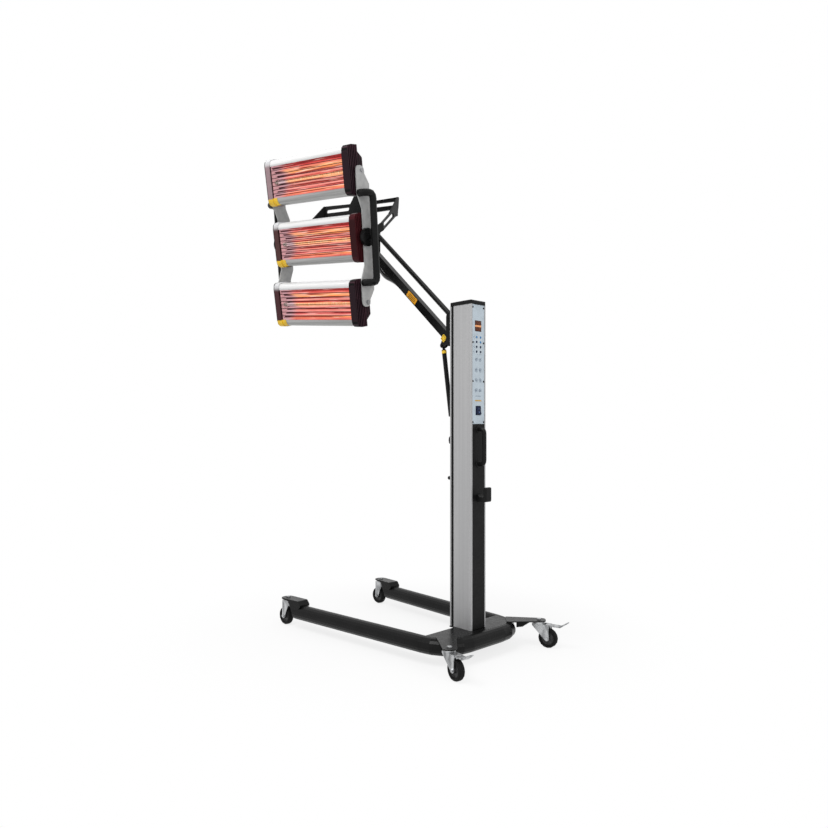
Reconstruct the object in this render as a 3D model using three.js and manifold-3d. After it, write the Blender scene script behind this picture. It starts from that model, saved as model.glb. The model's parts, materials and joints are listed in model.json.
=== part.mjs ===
// Infrared paint curing lamp: three lamp cassettes on a tilting, swivelling head, carried by a
// parallelogram arm with a gas strut on a column that stands on a U-shaped base with four casters.
// Millimetres. +Z is up, -Y runs forward along the legs, +X is the side that the lamps face.
import * as THREE from "three";
import { mergeVertices } from "three/addons/utils/BufferGeometryUtils.js";
import Module from "manifold-3d";

const wasm = await Module();
wasm.setup();

// Clearances
const seatGap = 0.3; // between pieces that touch
const overrun = 4; // how far a cutter reaches past what it cuts

// Base frame
const tubeDiameter = 62.4;
const tubeWall = 2.5;
const tubeHeight = 66.5; // of the tube's axis over the floor
const legFrontSpan = 263; // from the middle plane to a leg's axis at its front end
const legRearSpan = 200; // the same at the crossbar
const legFrontReach = 730; // front end of the legs, ahead of the column's middle
const crossbarReach = 82; // crossbar's axis, behind the column's middle
const cornerReach = 112; // where each bend starts, from the corner of the two axes
const deckThickness = 5;
const deckTop = 97;
const deckFrontReach = 25;

// Casters
const wheelDiameter = 75;
const wheelWidth = 24;
const axleDiameter = 8;
const frontPlateTop = 118;
const frontKingpinSpan = 267;
const frontKingpinAhead = 60; // of the leg's front end
const frontKingpinReach = legFrontReach + frontKingpinAhead;
const frontTrail = 14;
const rearPlateTop = 102.2;
const rearKingpinSpan = 255;
const rearKingpinReach = 144;
const rearTrail = 38;
const rearToeOut = THREE.MathUtils.degToRad(12);
const mountPlateThickness = 4.2;
const mountHalfWidth = 26;
const mountCheek = 3.2;
const kingpinDiameter = 12;
const pedalLength = 86;
const pedalWidth = 26;
const pedalThickness = 3;
const pedalPinRadius = 2.5;
const raceHeight = 8;
const raceRadius = 21;
const forkLegThickness = 2.6;
const forkPlay = 2; // between the wheel and a fork leg
const axleBossRadius = 9;
const nutHeight = 4;
const hubProud = 1.5; // of the wheel's sides
const shoeLength = 6;
const shoeReach = 1.2; // below the wheel's top, as drawn from the pedal's hinge

// Column
const columnWidth = 83;
const columnDepth = 109;
const columnTop = 1307;
const columnWall = 3;
const columnCorner = 5;
const grooveWidth = 12;
const grooveDepth = 4;
const grooveInset = 9; // from the front face to the groove
const recessWidth = 69;
const recessDepth = 5;
const capHeight = 16;
const capBevel = 8;
const capOverhang = 1.5;
const capFrontShare = 0.85; // of the height behind

// Control panel and cover, in the recess of the rear face
const panelBottom = 862;
const panelThickness = 3;
const displayWidth = 36;
const displayHeight = 40;
const displayCentre = 1227;
const keypadWidth = 44;
const keypadTop = 1194;
const keyPitch = 18;
const keyDiameter = 11;
const keyRows = 4;
const keyColumns = 2;
const keyRise = 1;
const switchWidth = 24;
const switchHeight = 30;
const switchCentre = 912;
const switchRise = 3.5;
const switchTilt = THREE.MathUtils.degToRad(6);
const handleTop = 850;
const handleLength = 146;
const handleDiameter = 16;
const handleStandOff = 36;
const hookTop = 628;
const hookLength = 54;
const hookReach = 50.6;
const hookThickness = 16;
const hookWidth = 26;
const clipHeight = 656;
const clipDiameter = 14;
const clipReach = 16;

// Arm
const armAngle = THREE.MathUtils.degToRad(42.4); // above the horizontal
const armLength = 619; // between its pivots
const armHeight = 31;
const armWidth = 27;
const armWall = 2.5;
const conduitShare = 0.52; // its radius, as a share of the arm's width
const armPivotDrop = 125.5; // below the column's top
const armPivotHeight = columnTop - armPivotDrop;
const armPivotReach = 78; // ahead of the column's middle
const linkRise = 93; // of the link's pivots over the arm's
const linkDiameter = 20;
const pinDiameter = 12;
const eyeThickness = 12;
const cheekThickness = 5;
const bracketPlate = 5;

// Gas strut
const strutTopAhead = 47; // upper pin, ahead of the arm's pivot
const strutTopDrop = 14.5; // upper pin, below the arm's pivot
const strutFootBehind = 6; // lower pin, behind the arm's pivot
const strutFootDrop = 381.5; // lower pin, below the arm's pivot
const strutTopReach = armPivotReach + strutTopAhead;
const strutTopHeight = armPivotHeight - strutTopDrop;
const strutFootReach = armPivotReach - strutFootBehind;
const strutFootHeight = armPivotHeight - strutFootDrop;
const strutDiameter = 18;
const strutLength = 262; // of the cylinder's body
const strutRodDiameter = 9;
const strutPinDiameter = 8;
const strutFootPlay = 4.8; // round the foot's pin, which the coupled motion needs
const washerLap = 2; // of the foot's washers over their bores
const footClearance = 1; // beside the foot's eye
const earThickness = 4;

// Knuckle and yoke
const swivelAhead = 56; // of the arm's upper pivot
const swivelLean = THREE.MathUtils.degToRad(5.16);
const headYaw = THREE.MathUtils.degToRad(7.8);
const headPitch = THREE.MathUtils.degToRad(9.5);
const cassettePitchDown = THREE.MathUtils.degToRad(3); // of each cassette, from the side plates
const tiltAhead = 269; // tilt axis, from the swivel axis
const tiltRise = 10.5; // tilt axis, over the arm's upper pivot
const swivelPinDiameter = 20;
const hubDiameter = 42;
const hubBottomRise = 132;
const hubTopRise = 206;
const crossbarSetBack = 212; // yoke's crossbar, behind the tilt axis
const crossbarHalf = 211;
const crossbarLow = 156; // over the tilt axis
const crossbarHigh = 204;
const yokePlate = 7;
const humpRise = 34;
const humpHalf = 38;
const yokeArmWidth = 31;
const yokeStraight = 105; // length of a yoke arm beside the side plate
const yokeWingAhead = 74; // where a yoke arm's wing ends, ahead of the crossbar
const yokeWingRise = 118; // height of its end, over the tilt axis
const discRadius = 35;
const discThickness = 12;

// Head
const cassettePitch = 248;
const middleSetBack = 21;
const cassettePivotAhead = 7; // of the tilt axis
const cassetteFront = 60; // ahead of its own pivot
const shellLength = 405;
const shellHalfHeight = 90;
const shellDepth = 52;
const shellWall = 3;
const lipRound = 28;
const openingHalfHeight = 62;
const housingDepth = 30;
const housingHalfHeight = 74;
const housingBackHalfHeight = 48;
const capLength = 29;
const capProud = 3;
const ribCount = 5;
const ribPitch = 9.5;
const ribGroove = 4.5;
const ribDepth = 3;
const reflectorWall = 1.2;
const reflectorDepth = 38;
const lampDiameter = 11;
const lampEndDiameter = 16;
const lampEndLength = 18;
const lampBehindFront = 24;
const wireCount = 7;
const wirePitch = 15;
const wireDiameter = 2.6;
const sidePlateThickness = 4;
const sidePlateGap = 5.2; // from a cassette's end cap to the side plate
const sidePlateFront = 38; // ahead of the tilt axis, at its ends
const sidePlateNeck = 15; // the same along the stretch between them
const sidePlateHalf = 265;
const sidePlateEnd = 22; // rounding of its ends
const sidePlateWaist = 52; // rear edge behind the tilt axis, along the same stretch
const sidePlateHip = 33; // the same beside the outer cassettes
const sidePlateTail = 8; // the same at its ends
const hipLow = 150;
const hipHigh = 200;
const waistEnd = 105;
const neckEnd = 160;
const bowDiameter = 28;
const bowTop = 163;
const bowLow = 172;
const bowStandOff = 32; // bar's axis, outside the side plate
const bowBehind = 15; // bar's axis, behind the tilt axis
const bowAhead = 28; // its feet, ahead of the tilt axis
const bowBend = 21.3; // where each bend starts, from the corner of the two axes
const boltDiameter = 8;
const boltHead = 16;
const boltHeadHeight = 4;
const tiltPinRadius = 6;

// Facets
const tubeSides = 18;
const smallSides = 8;
const wheelSides = 16;

// Finishes
const finish = (color, roughness, metalness) => ({ color, roughness, metalness });
const blackPowder = finish(0x242527, 0.55, 0.2);
const blackPlastic = finish(0x17171a, 0.5, 0);
const ribbedPlastic = finish(0x1c1418, 0.45, 0);
const satinAluminium = finish(0xa6a6a9, 0.35, 0.8);
const brightAluminium = finish(0xc9c9cc, 0.2, 0.9);
const reflectorGold = finish(0xe8b9a6, 0.15, 0.9);
const quartz = finish(0xff5a2a, 0.1, 0);
const zinc = finish(0xb9bbbd, 0.3, 0.9);
const steelWire = finish(0x9a9a9c, 0.3, 0.9);
const rubber = finish(0x141414, 0.8, 0);
const panelSilver = finish(0xc8d0d7, 0.4, 0.5);
const displayRed = finish(0x5a0f10, 0.1, 0);
const switchBlue = finish(0x15254a, 0.3, 0);

const vec = (x, y, z) => new THREE.Vector3(x, y, z);

// A closed geometry as a solid that can be joined and cut.
function solid(geometry) {
  const bare = geometry.index ? geometry.toNonIndexed() : geometry.clone();
  bare.deleteAttribute("normal");
  bare.deleteAttribute("uv");
  const merged = mergeVertices(bare);
  return new wasm.Manifold(
    new wasm.Mesh({
      numProp: 3,
      vertProperties: merged.attributes.position.array,
      triVerts: new Uint32Array(merged.index.array),
    }),
  );
}

const join = (first, ...rest) => rest.reduce((sum, next) => sum.add(next), first);
const cut = (first, ...rest) => rest.reduce((left, next) => left.subtract(next), first);

// Radius of a faceted bore in which a round pin of the given radius turns freely.
const boreFor = (radius, sides = smallSides) => (radius + seatGap) / Math.cos(Math.PI / sides);

// A named mesh from a solid.
function piece(name, body, look) {
  const mesh = body.getMesh();
  const geometry = new THREE.BufferGeometry();
  geometry.setAttribute("position", new THREE.BufferAttribute(mesh.vertProperties, mesh.numProp));
  geometry.setIndex(new THREE.BufferAttribute(mesh.triVerts, 1));
  const flat = geometry.toNonIndexed();
  flat.computeVertexNormals();
  const made = new THREE.Mesh(flat, new THREE.MeshStandardMaterial(look));
  made.name = name;
  return made;
}

// A group at a place, which holds the given objects.
function assembly(name, place, ...objects) {
  const group = new THREE.Group();
  group.name = name;
  group.position.copy(place);
  group.add(...objects);
  return group;
}

// Boxes are given by their low and high corners.
function block(x0, x1, y0, y1, z0, z1) {
  const box = new THREE.BoxGeometry(x1 - x0, y1 - y0, z1 - z0);
  return solid(box.translate((x0 + x1) / 2, (y0 + y1) / 2, (z0 + z1) / 2));
}

// Round bars along each axis, from one station to another, round a centre in the other two axes.
function barX(radius, x0, x1, y = 0, z = 0, sides = smallSides) {
  const bar = new THREE.CylinderGeometry(radius, radius, x1 - x0, sides).rotateZ(Math.PI / 2);
  return solid(bar.translate((x0 + x1) / 2, y, z));
}
function barY(radius, y0, y1, x = 0, z = 0, sides = smallSides) {
  const bar = new THREE.CylinderGeometry(radius, radius, y1 - y0, sides);
  return solid(bar.translate(x, (y0 + y1) / 2, z));
}
function barZ(radius, z0, z1, x = 0, y = 0, sides = smallSides) {
  const bar = new THREE.CylinderGeometry(radius, radius, z1 - z0, sides).rotateX(Math.PI / 2);
  return solid(bar.translate(x, y, (z0 + z1) / 2));
}

// An outline from corner points, each with the radius that rounds it, as [x, y, radius].
function outline(corners) {
  const at = (i) => corners[(i + corners.length) % corners.length];
  const point = (i) => new THREE.Vector2(at(i)[0], at(i)[1]);
  const shape = new THREE.Shape();
  corners.forEach(([, , radius = 0], i) => {
    const corner = point(i);
    const toward = (other) => corner.clone().add(other.sub(corner).setLength(radius));
    const start = radius ? toward(point(i - 1)) : corner;
    if (i) shape.lineTo(start.x, start.y);
    else shape.moveTo(start.x, start.y);
    const end = radius ? toward(point(i + 1)) : corner;
    if (radius) shape.quadraticCurveTo(corner.x, corner.y, end.x, end.y);
  });
  shape.closePath();
  return shape;
}

const extruded = (shape, depth, curveSegments = 3) =>
  new THREE.ExtrudeGeometry(shape, { depth, curveSegments, bevelEnabled: false });

// An outline drawn in X and Y, extruded upwards between two heights.
const plateZ = (shape, z0, z1) => solid(extruded(shape, z1 - z0).translate(0, 0, z0));
// An outline drawn in Y and Z, extruded along X.
const plateX = (shape, x0, x1) =>
  solid(extruded(shape, x1 - x0).rotateX(Math.PI / 2).rotateZ(Math.PI / 2).translate(x0, 0, 0));
// An outline drawn in X and Z, extruded along Y.
const plateY = (shape, y0, y1) => solid(extruded(shape, y1 - y0).rotateX(Math.PI / 2).translate(0, y1, 0));

// A route that is walked from station to station, so that only its bends get rings of facets.
class Stations extends THREE.Curve {
  constructor(points) {
    super();
    this.points = points;
  }
  getPoint(t, target = new THREE.Vector3()) {
    const along = t * (this.points.length - 1);
    const i = Math.min(Math.floor(along), this.points.length - 2);
    return target.lerpVectors(this.points[i], this.points[i + 1], along - i);
  }
  getUtoTmapping(u) {
    return u;
  }
}

// Rounds the inner corners of a route, with bends that start the given reach from each corner.
function bendRoute(points, reach, parts = 5) {
  const route = [points[0]];
  for (let i = 1; i < points.length - 1; i += 1) {
    const corner = points[i];
    const toward = (other) => corner.clone().add(other.clone().sub(corner).setLength(reach));
    const bend = new THREE.QuadraticBezierCurve3(toward(points[i - 1]), corner, toward(points[i + 1]));
    route.push(...bend.getPoints(parts));
  }
  return [...route, points.at(-1)];
}

function circle(radius, sides) {
  const turn = (i) => (2 * Math.PI * i) / sides;
  const rim = Array.from({ length: sides }, (_, i) => i);
  return rim.map((i) => new THREE.Vector2(radius * Math.cos(turn(i)), radius * Math.sin(turn(i))));
}

// A round tube along a route, open at both ends if it has a wall.
function tubeAlong(points, radius, sides, wall = 0) {
  const section = new THREE.Shape(circle(radius, sides));
  if (wall) section.holes.push(new THREE.Path(circle(radius - wall, Math.ceil(sides / 2)).reverse()));
  const extrudePath = new Stations(points);
  return solid(new THREE.ExtrudeGeometry(section, { steps: points.length - 1, extrudePath }));
}

// A turned piece from a closed profile of [radius, station] points round the given axis.
function turned(profile, sides) {
  const points = [...profile, profile[0]].map(([r, s]) => new THREE.Vector2(r, s));
  return new THREE.LatheGeometry(points, sides);
}
const turnedX = (profile, sides) => solid(turned(profile, sides).rotateZ(-Math.PI / 2));

// Base tube, deck and the plates that carry the casters
const tubeRadius = tubeDiameter / 2;
const legRoute = [
  vec(legFrontSpan, -legFrontReach, tubeHeight),
  vec(legRearSpan, crossbarReach, tubeHeight),
  vec(-legRearSpan, crossbarReach, tubeHeight),
  vec(-legFrontSpan, -legFrontReach, tubeHeight),
];
const baseRoute = bendRoute(legRoute, cornerReach, 5);
const tubeCutter = tubeAlong(baseRoute, tubeRadius + seatGap, tubeSides);
const legSplay = Math.atan2(legFrontSpan - legRearSpan, legFrontReach + crossbarReach);

function baseTube() {
  return piece("base_tube", tubeAlong(baseRoute, tubeRadius, tubeSides, tubeWall), blackPowder);
}

function deckPlate() {
  const tongue = columnWidth / 2;
  const plan = outline([
    [tongue, -columnDepth / 2],
    [tongue, -deckFrontReach],
    [legRearSpan, -deckFrontReach],
    [legRearSpan, crossbarReach],
    [-legRearSpan, crossbarReach],
    [-legRearSpan, -deckFrontReach],
    [-tongue, -deckFrontReach],
    [-tongue, -columnDepth / 2],
  ]);
  const whole = cut(plateZ(plan, deckTop - deckThickness, deckTop), tubeCutter);
  const inner = whole.decompose().sort((a, b) => b.volume() - a.volume())[0];
  return piece("deck_plate", inner, blackPowder);
}

// Plate over the front end of a leg: its origin is at the kingpin, and the leg lies along +Y.
function frontMount(name, side) {
  const toTube = frontKingpinReach - legFrontReach;
  const plateEnd = toTube + mountHalfWidth * 1.3;
  const cheek = outline([
    [-mountHalfWidth, frontPlateTop],
    [-mountHalfWidth, frontPlateTop - mountPlateThickness],
    [mountHalfWidth * 1.15, frontPlateTop - mountPlateThickness * 2],
    [toTube - mountPlateThickness * 2, tubeHeight],
    [toTube + mountHalfWidth / 2, tubeHeight],
    [plateEnd + mountHalfWidth / 2, tubeHeight + tubeRadius * 0.9],
    [plateEnd + mountHalfWidth / 2, tubeHeight + tubeRadius + mountPlateThickness],
    [plateEnd, frontPlateTop, mountPlateThickness],
  ]);
  const plan = outline([
    [-mountHalfWidth, -mountHalfWidth, mountHalfWidth * 0.9],
    [mountHalfWidth, -mountHalfWidth, mountHalfWidth * 0.9],
    [mountHalfWidth, plateEnd + mountHalfWidth],
    [-mountHalfWidth, plateEnd + mountHalfWidth],
  ]);
  const inside = mountHalfWidth - mountCheek;
  const hollowTop = frontPlateTop - mountPlateThickness;
  const body = cut(
    plateX(cheek, -mountHalfWidth, mountHalfWidth).intersect(plateZ(plan, 0, frontPlateTop + overrun)),
    block(-inside, inside, -mountHalfWidth - overrun, plateEnd - mountPlateThickness, 0, hollowTop),
    barZ(boreFor(kingpinDiameter / 2), 0, frontPlateTop + overrun),
  );
  const turn = side * legSplay;
  const place = vec(side * frontKingpinSpan, -frontKingpinReach, 0);
  const placed = body.rotate([0, 0, THREE.MathUtils.radToDeg(turn)]).translate(place.toArray());
  const seated = cut(placed, tubeCutter);
  const largest = seated.decompose().sort((a, b) => b.volume() - a.volume())[0];
  return piece(name, largest, blackPowder);
}

// Tapered plate on a rear corner: its origin is at the kingpin, and it reaches back along -Y.
function rearMount(name, side) {
  const rootX = legRearSpan * 0.85;
  const rootY = crossbarReach * 0.6;
  const reach = Math.hypot(rearKingpinSpan - rootX, rearKingpinReach - rootY);
  const turn = -side * Math.atan2(rearKingpinSpan - rootX, rearKingpinReach - rootY);
  const rootHalf = mountHalfWidth * 1.44;
  const plan = outline([
    [-rootHalf, -reach, mountPlateThickness],
    [rootHalf, -reach, mountPlateThickness],
    [mountHalfWidth, 0],
    [mountHalfWidth * 0.9, mountHalfWidth, mountHalfWidth * 0.7],
    [-mountHalfWidth * 0.9, mountHalfWidth, mountHalfWidth * 0.7],
    [-mountHalfWidth, 0],
  ]);
  const low = rearPlateTop - mountPlateThickness;
  const web = outline([
    [-reach, low + overrun / 4],
    [-reach, tubeHeight],
    [-reach / 2, tubeHeight + tubeRadius / 4],
    [-mountHalfWidth, low],
    [-mountHalfWidth, low + overrun / 4],
  ]);
  const body = cut(
    join(plateZ(plan, low, rearPlateTop), plateX(web, -mountPlateThickness, mountPlateThickness)),
    barZ(boreFor(kingpinDiameter / 2), 0, rearPlateTop + overrun),
  );
  const place = vec(side * rearKingpinSpan, rearKingpinReach, 0);
  const placed = body.rotate([0, 0, THREE.MathUtils.radToDeg(turn)]).translate(place.toArray());
  const clearOfDeck = block(-legRearSpan, legRearSpan, -crossbarReach, crossbarReach, 0, deckTop + seatGap);
  const seated = cut(placed, tubeCutter, clearOfDeck);
  const largest = seated.decompose().sort((a, b) => b.volume() - a.volume())[0];
  return piece(name, largest, blackPowder);
}

// Caster: its origin is at the kingpin on the floor, and the wheel trails along +Y.
function caster(name, plateTop, trail, braked) {
  const seat = plateTop - mountPlateThickness - seatGap;
  const legTop = seat - raceHeight;
  const legInner = wheelWidth / 2 + forkPlay;
  const legOuter = legInner + forkLegThickness;
  const axle = wheelDiameter / 2;
  const bossRadius = axleBossRadius;
  const fin = raceRadius * 1.05;
  const heel = braked ? trail + bossRadius : fin;
  const leg = outline([
    [-fin, legTop],
    [-fin, legTop - raceHeight],
    [trail - bossRadius, axle - bossRadius / 2, bossRadius / 3],
    [trail, axle - bossRadius * 1.2, bossRadius / 2],
    [trail + bossRadius, axle - bossRadius / 2, bossRadius / 3],
    [heel, legTop - raceHeight],
    [heel, legTop],
  ]);
  const pedalPinY = trail - bossRadius / 2;
  const pedalPinZ = legTop - pedalThickness;
  const studTop = plateTop + seatGap;
  let fork = join(
    plateX(leg, legInner, legOuter),
    plateX(leg, -legOuter, -legInner),
    block(-legOuter, legOuter, -fin, fin, legTop - forkLegThickness, legTop),
    barZ(raceRadius, legTop - forkLegThickness / 2, seat, 0, 0, 14),
    barZ(kingpinDiameter / 2, seat - overrun, studTop + nutHeight / 2),
    barZ(kingpinDiameter * 0.8, studTop, studTop + nutHeight, 0, 0, 6),
    barX(axleDiameter / 2, -legOuter - nutHeight, legOuter + nutHeight, trail, axle),
    barX(axleDiameter * 0.8, legOuter - seatGap, legOuter + nutHeight, trail, axle, 6),
    barX(axleDiameter * 0.8, -legOuter - nutHeight, -legOuter + seatGap, trail, axle, 6),
  );
  const wheelMesh = piece(name + "_wheel", wheelBody(), rubber);
  wheelMesh.position.set(0, trail, axle);
  if (!braked) return [piece(name + "_fork", fork, zinc), wheelMesh];
  const reach = legOuter + overrun;
  fork = cut(fork, barX(boreFor(pedalPinRadius), -reach, reach, pedalPinY, pedalPinZ));
  // The pedal's origin is at its hinge pin.
  const lift = pedalThickness;
  const tread = outline([
    [-pedalThickness, -pedalThickness],
    [pedalLength * 0.68, -pedalThickness / 2],
    [pedalLength, pedalLength * 0.2],
    [pedalLength - pedalThickness, pedalLength * 0.2 + lift],
    [pedalLength * 0.64, pedalThickness],
    [-pedalThickness, pedalThickness],
  ]);
  const half = Math.min(pedalWidth / 2, legInner - seatGap * 2);
  // The shoe under the pedal comes down on the tread.
  const shoeLow = -bossRadius - shoeReach;
  const pedalBody = join(
    plateX(tread, -half, half),
    block(-half / 2, half / 2, bossRadius, bossRadius + shoeLength, shoeLow, 0),
    barX(pedalPinRadius, -legOuter - seatGap, legOuter + seatGap),
  );
  const pedal = piece(name + "_brake_pedal", pedalBody, zinc);
  pedal.position.set(0, pedalPinY, pedalPinZ);
  return [piece(name + "_fork", fork, zinc), wheelMesh, pedal];
}

// Wheel with a rounded tread, a thinner web and a hub, round its own axle along X.
function wheelBody() {
  const rim = wheelDiameter / 2;
  const half = wheelWidth / 2;
  const bore = axleDiameter / 2 + seatGap;
  const hubRadius = rim * 0.29;
  const webRadius = rim * 0.66;
  const web = half * 0.5;
  return turnedX(
    [
      [bore, -half - hubProud],
      [hubRadius, -half - hubProud],
      [hubRadius, -web],
      [webRadius, -web],
      [webRadius * 1.1, -half],
      [rim * 0.92, -half],
      [rim, -half * 0.6],
      [rim, half * 0.6],
      [rim * 0.92, half],
      [webRadius * 1.1, half],
      [webRadius, web],
      [hubRadius, web],
      [hubRadius, half + hubProud],
      [bore, half + hubProud],
    ],
    wheelSides,
  );
}

// Column: an aluminium extrusion with a trim groove down each side and a recess down its back.
const frontFace = -columnDepth / 2;
const rearFace = columnDepth / 2;

function column() {
  const half = columnWidth / 2;
  const groove0 = frontFace + grooveInset;
  const groove1 = groove0 + grooveWidth;
  const slot = recessWidth / 2;
  const side = (sign) => [
    [sign * half, rearFace, columnCorner / 2],
    [sign * half, groove1],
    [sign * (half - grooveDepth), groove1],
    [sign * (half - grooveDepth), groove0],
    [sign * half, groove0],
    [sign * half, frontFace, columnCorner],
  ];
  const section = outline([
    ...side(1),
    ...side(-1).reverse(),
    [-slot, rearFace],
    [-slot, rearFace - recessDepth],
    [slot, rearFace - recessDepth],
    [slot, rearFace],
  ]);
  const inner = half - grooveDepth - columnWall;
  const hollow = outline([
    [-inner, frontFace + columnWall],
    [inner, frontFace + columnWall],
    [inner, rearFace - recessDepth - columnWall],
    [-inner, rearFace - recessDepth - columnWall],
  ]);
  section.holes.push(hollow);
  return piece("column", plateZ(section, deckTop + seatGap, columnTop), satinAluminium);
}

function topCap() {
  const half = columnWidth / 2 + capOverhang;
  const front = frontFace - capOverhang;
  const rear = rearFace + capOverhang;
  const low = columnTop + seatGap;
  const high = low + capHeight;
  const plan = outline([
    [half, rear, columnCorner * 2],
    [half, front, columnCorner * 3],
    [-half, front, columnCorner * 3],
    [-half, rear, columnCorner * 2],
  ]);
  const fromSide = outline([
    [front, low],
    [rear, low],
    [rear, high, capBevel],
    [front, low + capHeight * capFrontShare, capBevel],
  ]);
  const fromBehind = outline([
    [-half, low],
    [half, low],
    [half, high, capBevel],
    [-half, high, capBevel],
  ]);
  const domed = plateX(fromSide, -half, half).intersect(plateY(fromBehind, front, rear));
  return piece("top_cap", domed.intersect(plateZ(plan, low, high)), blackPlastic);
}

// Everything in the rear recess lies on its floor.
const recessFloor = rearFace - recessDepth + seatGap;

function panelPieces() {
  const half = recessWidth / 2 - seatGap;
  const face = recessFloor + panelThickness;
  const window = (w, h, z, gap) =>
    block(-w / 2 - gap, w / 2 + gap, recessFloor - overrun, face + overrun, z - h / 2 - gap, z + h / 2 + gap);
  const panel = cut(
    block(-half, half, recessFloor, face, panelBottom, columnTop - seatGap),
    window(displayWidth, displayHeight, displayCentre, seatGap),
    window(switchWidth, switchHeight, switchCentre, seatGap),
  );
  const glass = block(
    -displayWidth / 2, displayWidth / 2,
    recessFloor, face - seatGap * 2,
    displayCentre - displayHeight / 2, displayCentre + displayHeight / 2,
  );
  const rows = Array.from({ length: keyRows * keyColumns }, (_, i) => i);
  const keyHeight = keypadTop - keyRows * keyPitch;
  const keys = rows.map((i) =>
    barY(
      keyDiameter / 2, face + seatGap, face + seatGap + 2 * keyRise,
      ((i % keyColumns) - (keyColumns - 1) / 2) * (keypadWidth / keyColumns),
      keypadTop - (Math.floor(i / keyColumns) + 0.5) * keyPitch, 8,
    ),
  );
  const side = keypadWidth / 2;
  const sheet = block(-side, side, face + seatGap, face + seatGap + keyRise, keyHeight, keypadTop);
  // The rocker's origin is at its hinge, and its face is two slopes that meet there.
  const rockerHalf = switchHeight / 2;
  const rocker = outline([
    [-panelThickness / 2, -rockerHalf * 0.6],
    [panelThickness / 2, -rockerHalf],
    [panelThickness / 2 + switchRise, -rockerHalf * 0.9],
    [panelThickness / 2 + switchRise / 2, 0],
    [panelThickness / 2 + switchRise, rockerHalf * 0.9],
    [panelThickness / 2, rockerHalf],
    [-panelThickness / 2, rockerHalf * 0.6],
  ]);
  const power = piece("power_switch", plateX(rocker, -switchWidth / 2, switchWidth / 2), switchBlue);
  power.position.set(0, face, switchCentre);
  power.rotation.x = switchTilt;
  return [
    piece("control_panel", panel, panelSilver),
    piece("display_window", glass, displayRed),
    piece("membrane_keypad", join(sheet, ...keys), panelSilver),
    power,
  ];
}

function rearCover() {
  const half = recessWidth / 2 - seatGap;
  const face = rearFace;
  const low = tubeHeight + tubeRadius + seatGap * 2;
  const cover = block(-half, half, recessFloor, face, low, panelBottom - seatGap);
  return piece("rear_cover", cover, blackPowder);
}

function rearHandle() {
  const low = handleTop - handleLength;
  const radius = handleDiameter / 2;
  const seat = rearFace + seatGap;
  const out = seat + handleStandOff - radius;
  const route = [
    vec(0, seat, handleTop - radius),
    vec(0, out, handleTop - radius),
    vec(0, out, low + radius),
    vec(0, seat, low + radius),
  ];
  return piece("rear_handle", tubeAlong(bendRoute(route, radius * 2, 4), radius, 10), blackPlastic);
}

function cableHook() {
  const seat = rearFace + seatGap;
  const low = hookTop - hookLength;
  const profile = outline([
    [seat, low + hookThickness * 1.6],
    [seat, low, hookThickness / 3],
    [seat + hookReach, low, hookThickness / 2],
    [seat + hookReach, hookTop, hookThickness / 3],
    [seat + hookReach - hookThickness, hookTop, hookThickness / 3],
    [seat + hookReach - hookThickness, low + hookThickness, hookThickness / 3],
    [seat + hookThickness, low + hookThickness, hookThickness / 3],
    [seat + hookThickness / 2, low + hookThickness * 1.6],
  ]);
  return piece("cable_hook", plateX(profile, -hookWidth / 2, hookWidth / 2), blackPlastic);
}

function frontClip() {
  const x = columnWidth / 2 - clipDiameter;
  const y = frontFace - seatGap;
  const knob = join(
    barY(clipDiameter / 4, y - clipReach, y, x, clipHeight),
    barY(clipDiameter / 2, y - clipReach, y - clipReach / 2, x, clipHeight),
  );
  return piece("front_clip", knob, blackPlastic);
}

// Bracket on the column's front, with the lower pivots of the arm and the link.
const cheekInner = armWidth / 2 + seatGap * 2;
const cheekOuter = cheekInner + cheekThickness;
const armPin = pinDiameter / 2;

function armBracket() {
  const seat = frontFace - seatGap;
  const plateFace = seat - bracketPlate;
  const top = armPivotHeight + linkRise + 2 * pinDiameter;
  const low = armPivotHeight - 2 * pinDiameter;
  const nose = -armPivotReach - pinDiameter * 1.3;
  const cheek = outline([
    [seat, low],
    [nose, low + pinDiameter / 2, pinDiameter],
    [nose, armPivotHeight + linkRise + pinDiameter, pinDiameter],
    [seat, top],
  ]);
  const pin = (z) => barX(armPin, -cheekOuter - boltHeadHeight, cheekOuter + boltHeadHeight, -armPivotReach, z);
  const head = (z, side) => {
    const inner = side * (cheekOuter - seatGap);
    const outer = side * (cheekOuter + boltHeadHeight);
    return barX(armPin * 1.5, Math.min(inner, outer), Math.max(inner, outer), -armPivotReach, z, 6);
  };
  const heights = [armPivotHeight, armPivotHeight + linkRise];
  const body = join(
    plateX(cheek, cheekInner, cheekOuter),
    plateX(cheek, -cheekOuter, -cheekInner),
    block(-cheekOuter, cheekOuter, plateFace, seat, low, top),
    ...heights.map(pin),
    ...heights.flatMap((z) => [head(z, 1), head(z, -1)]),
  );
  return piece("arm_bracket", body, blackPowder);
}

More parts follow.
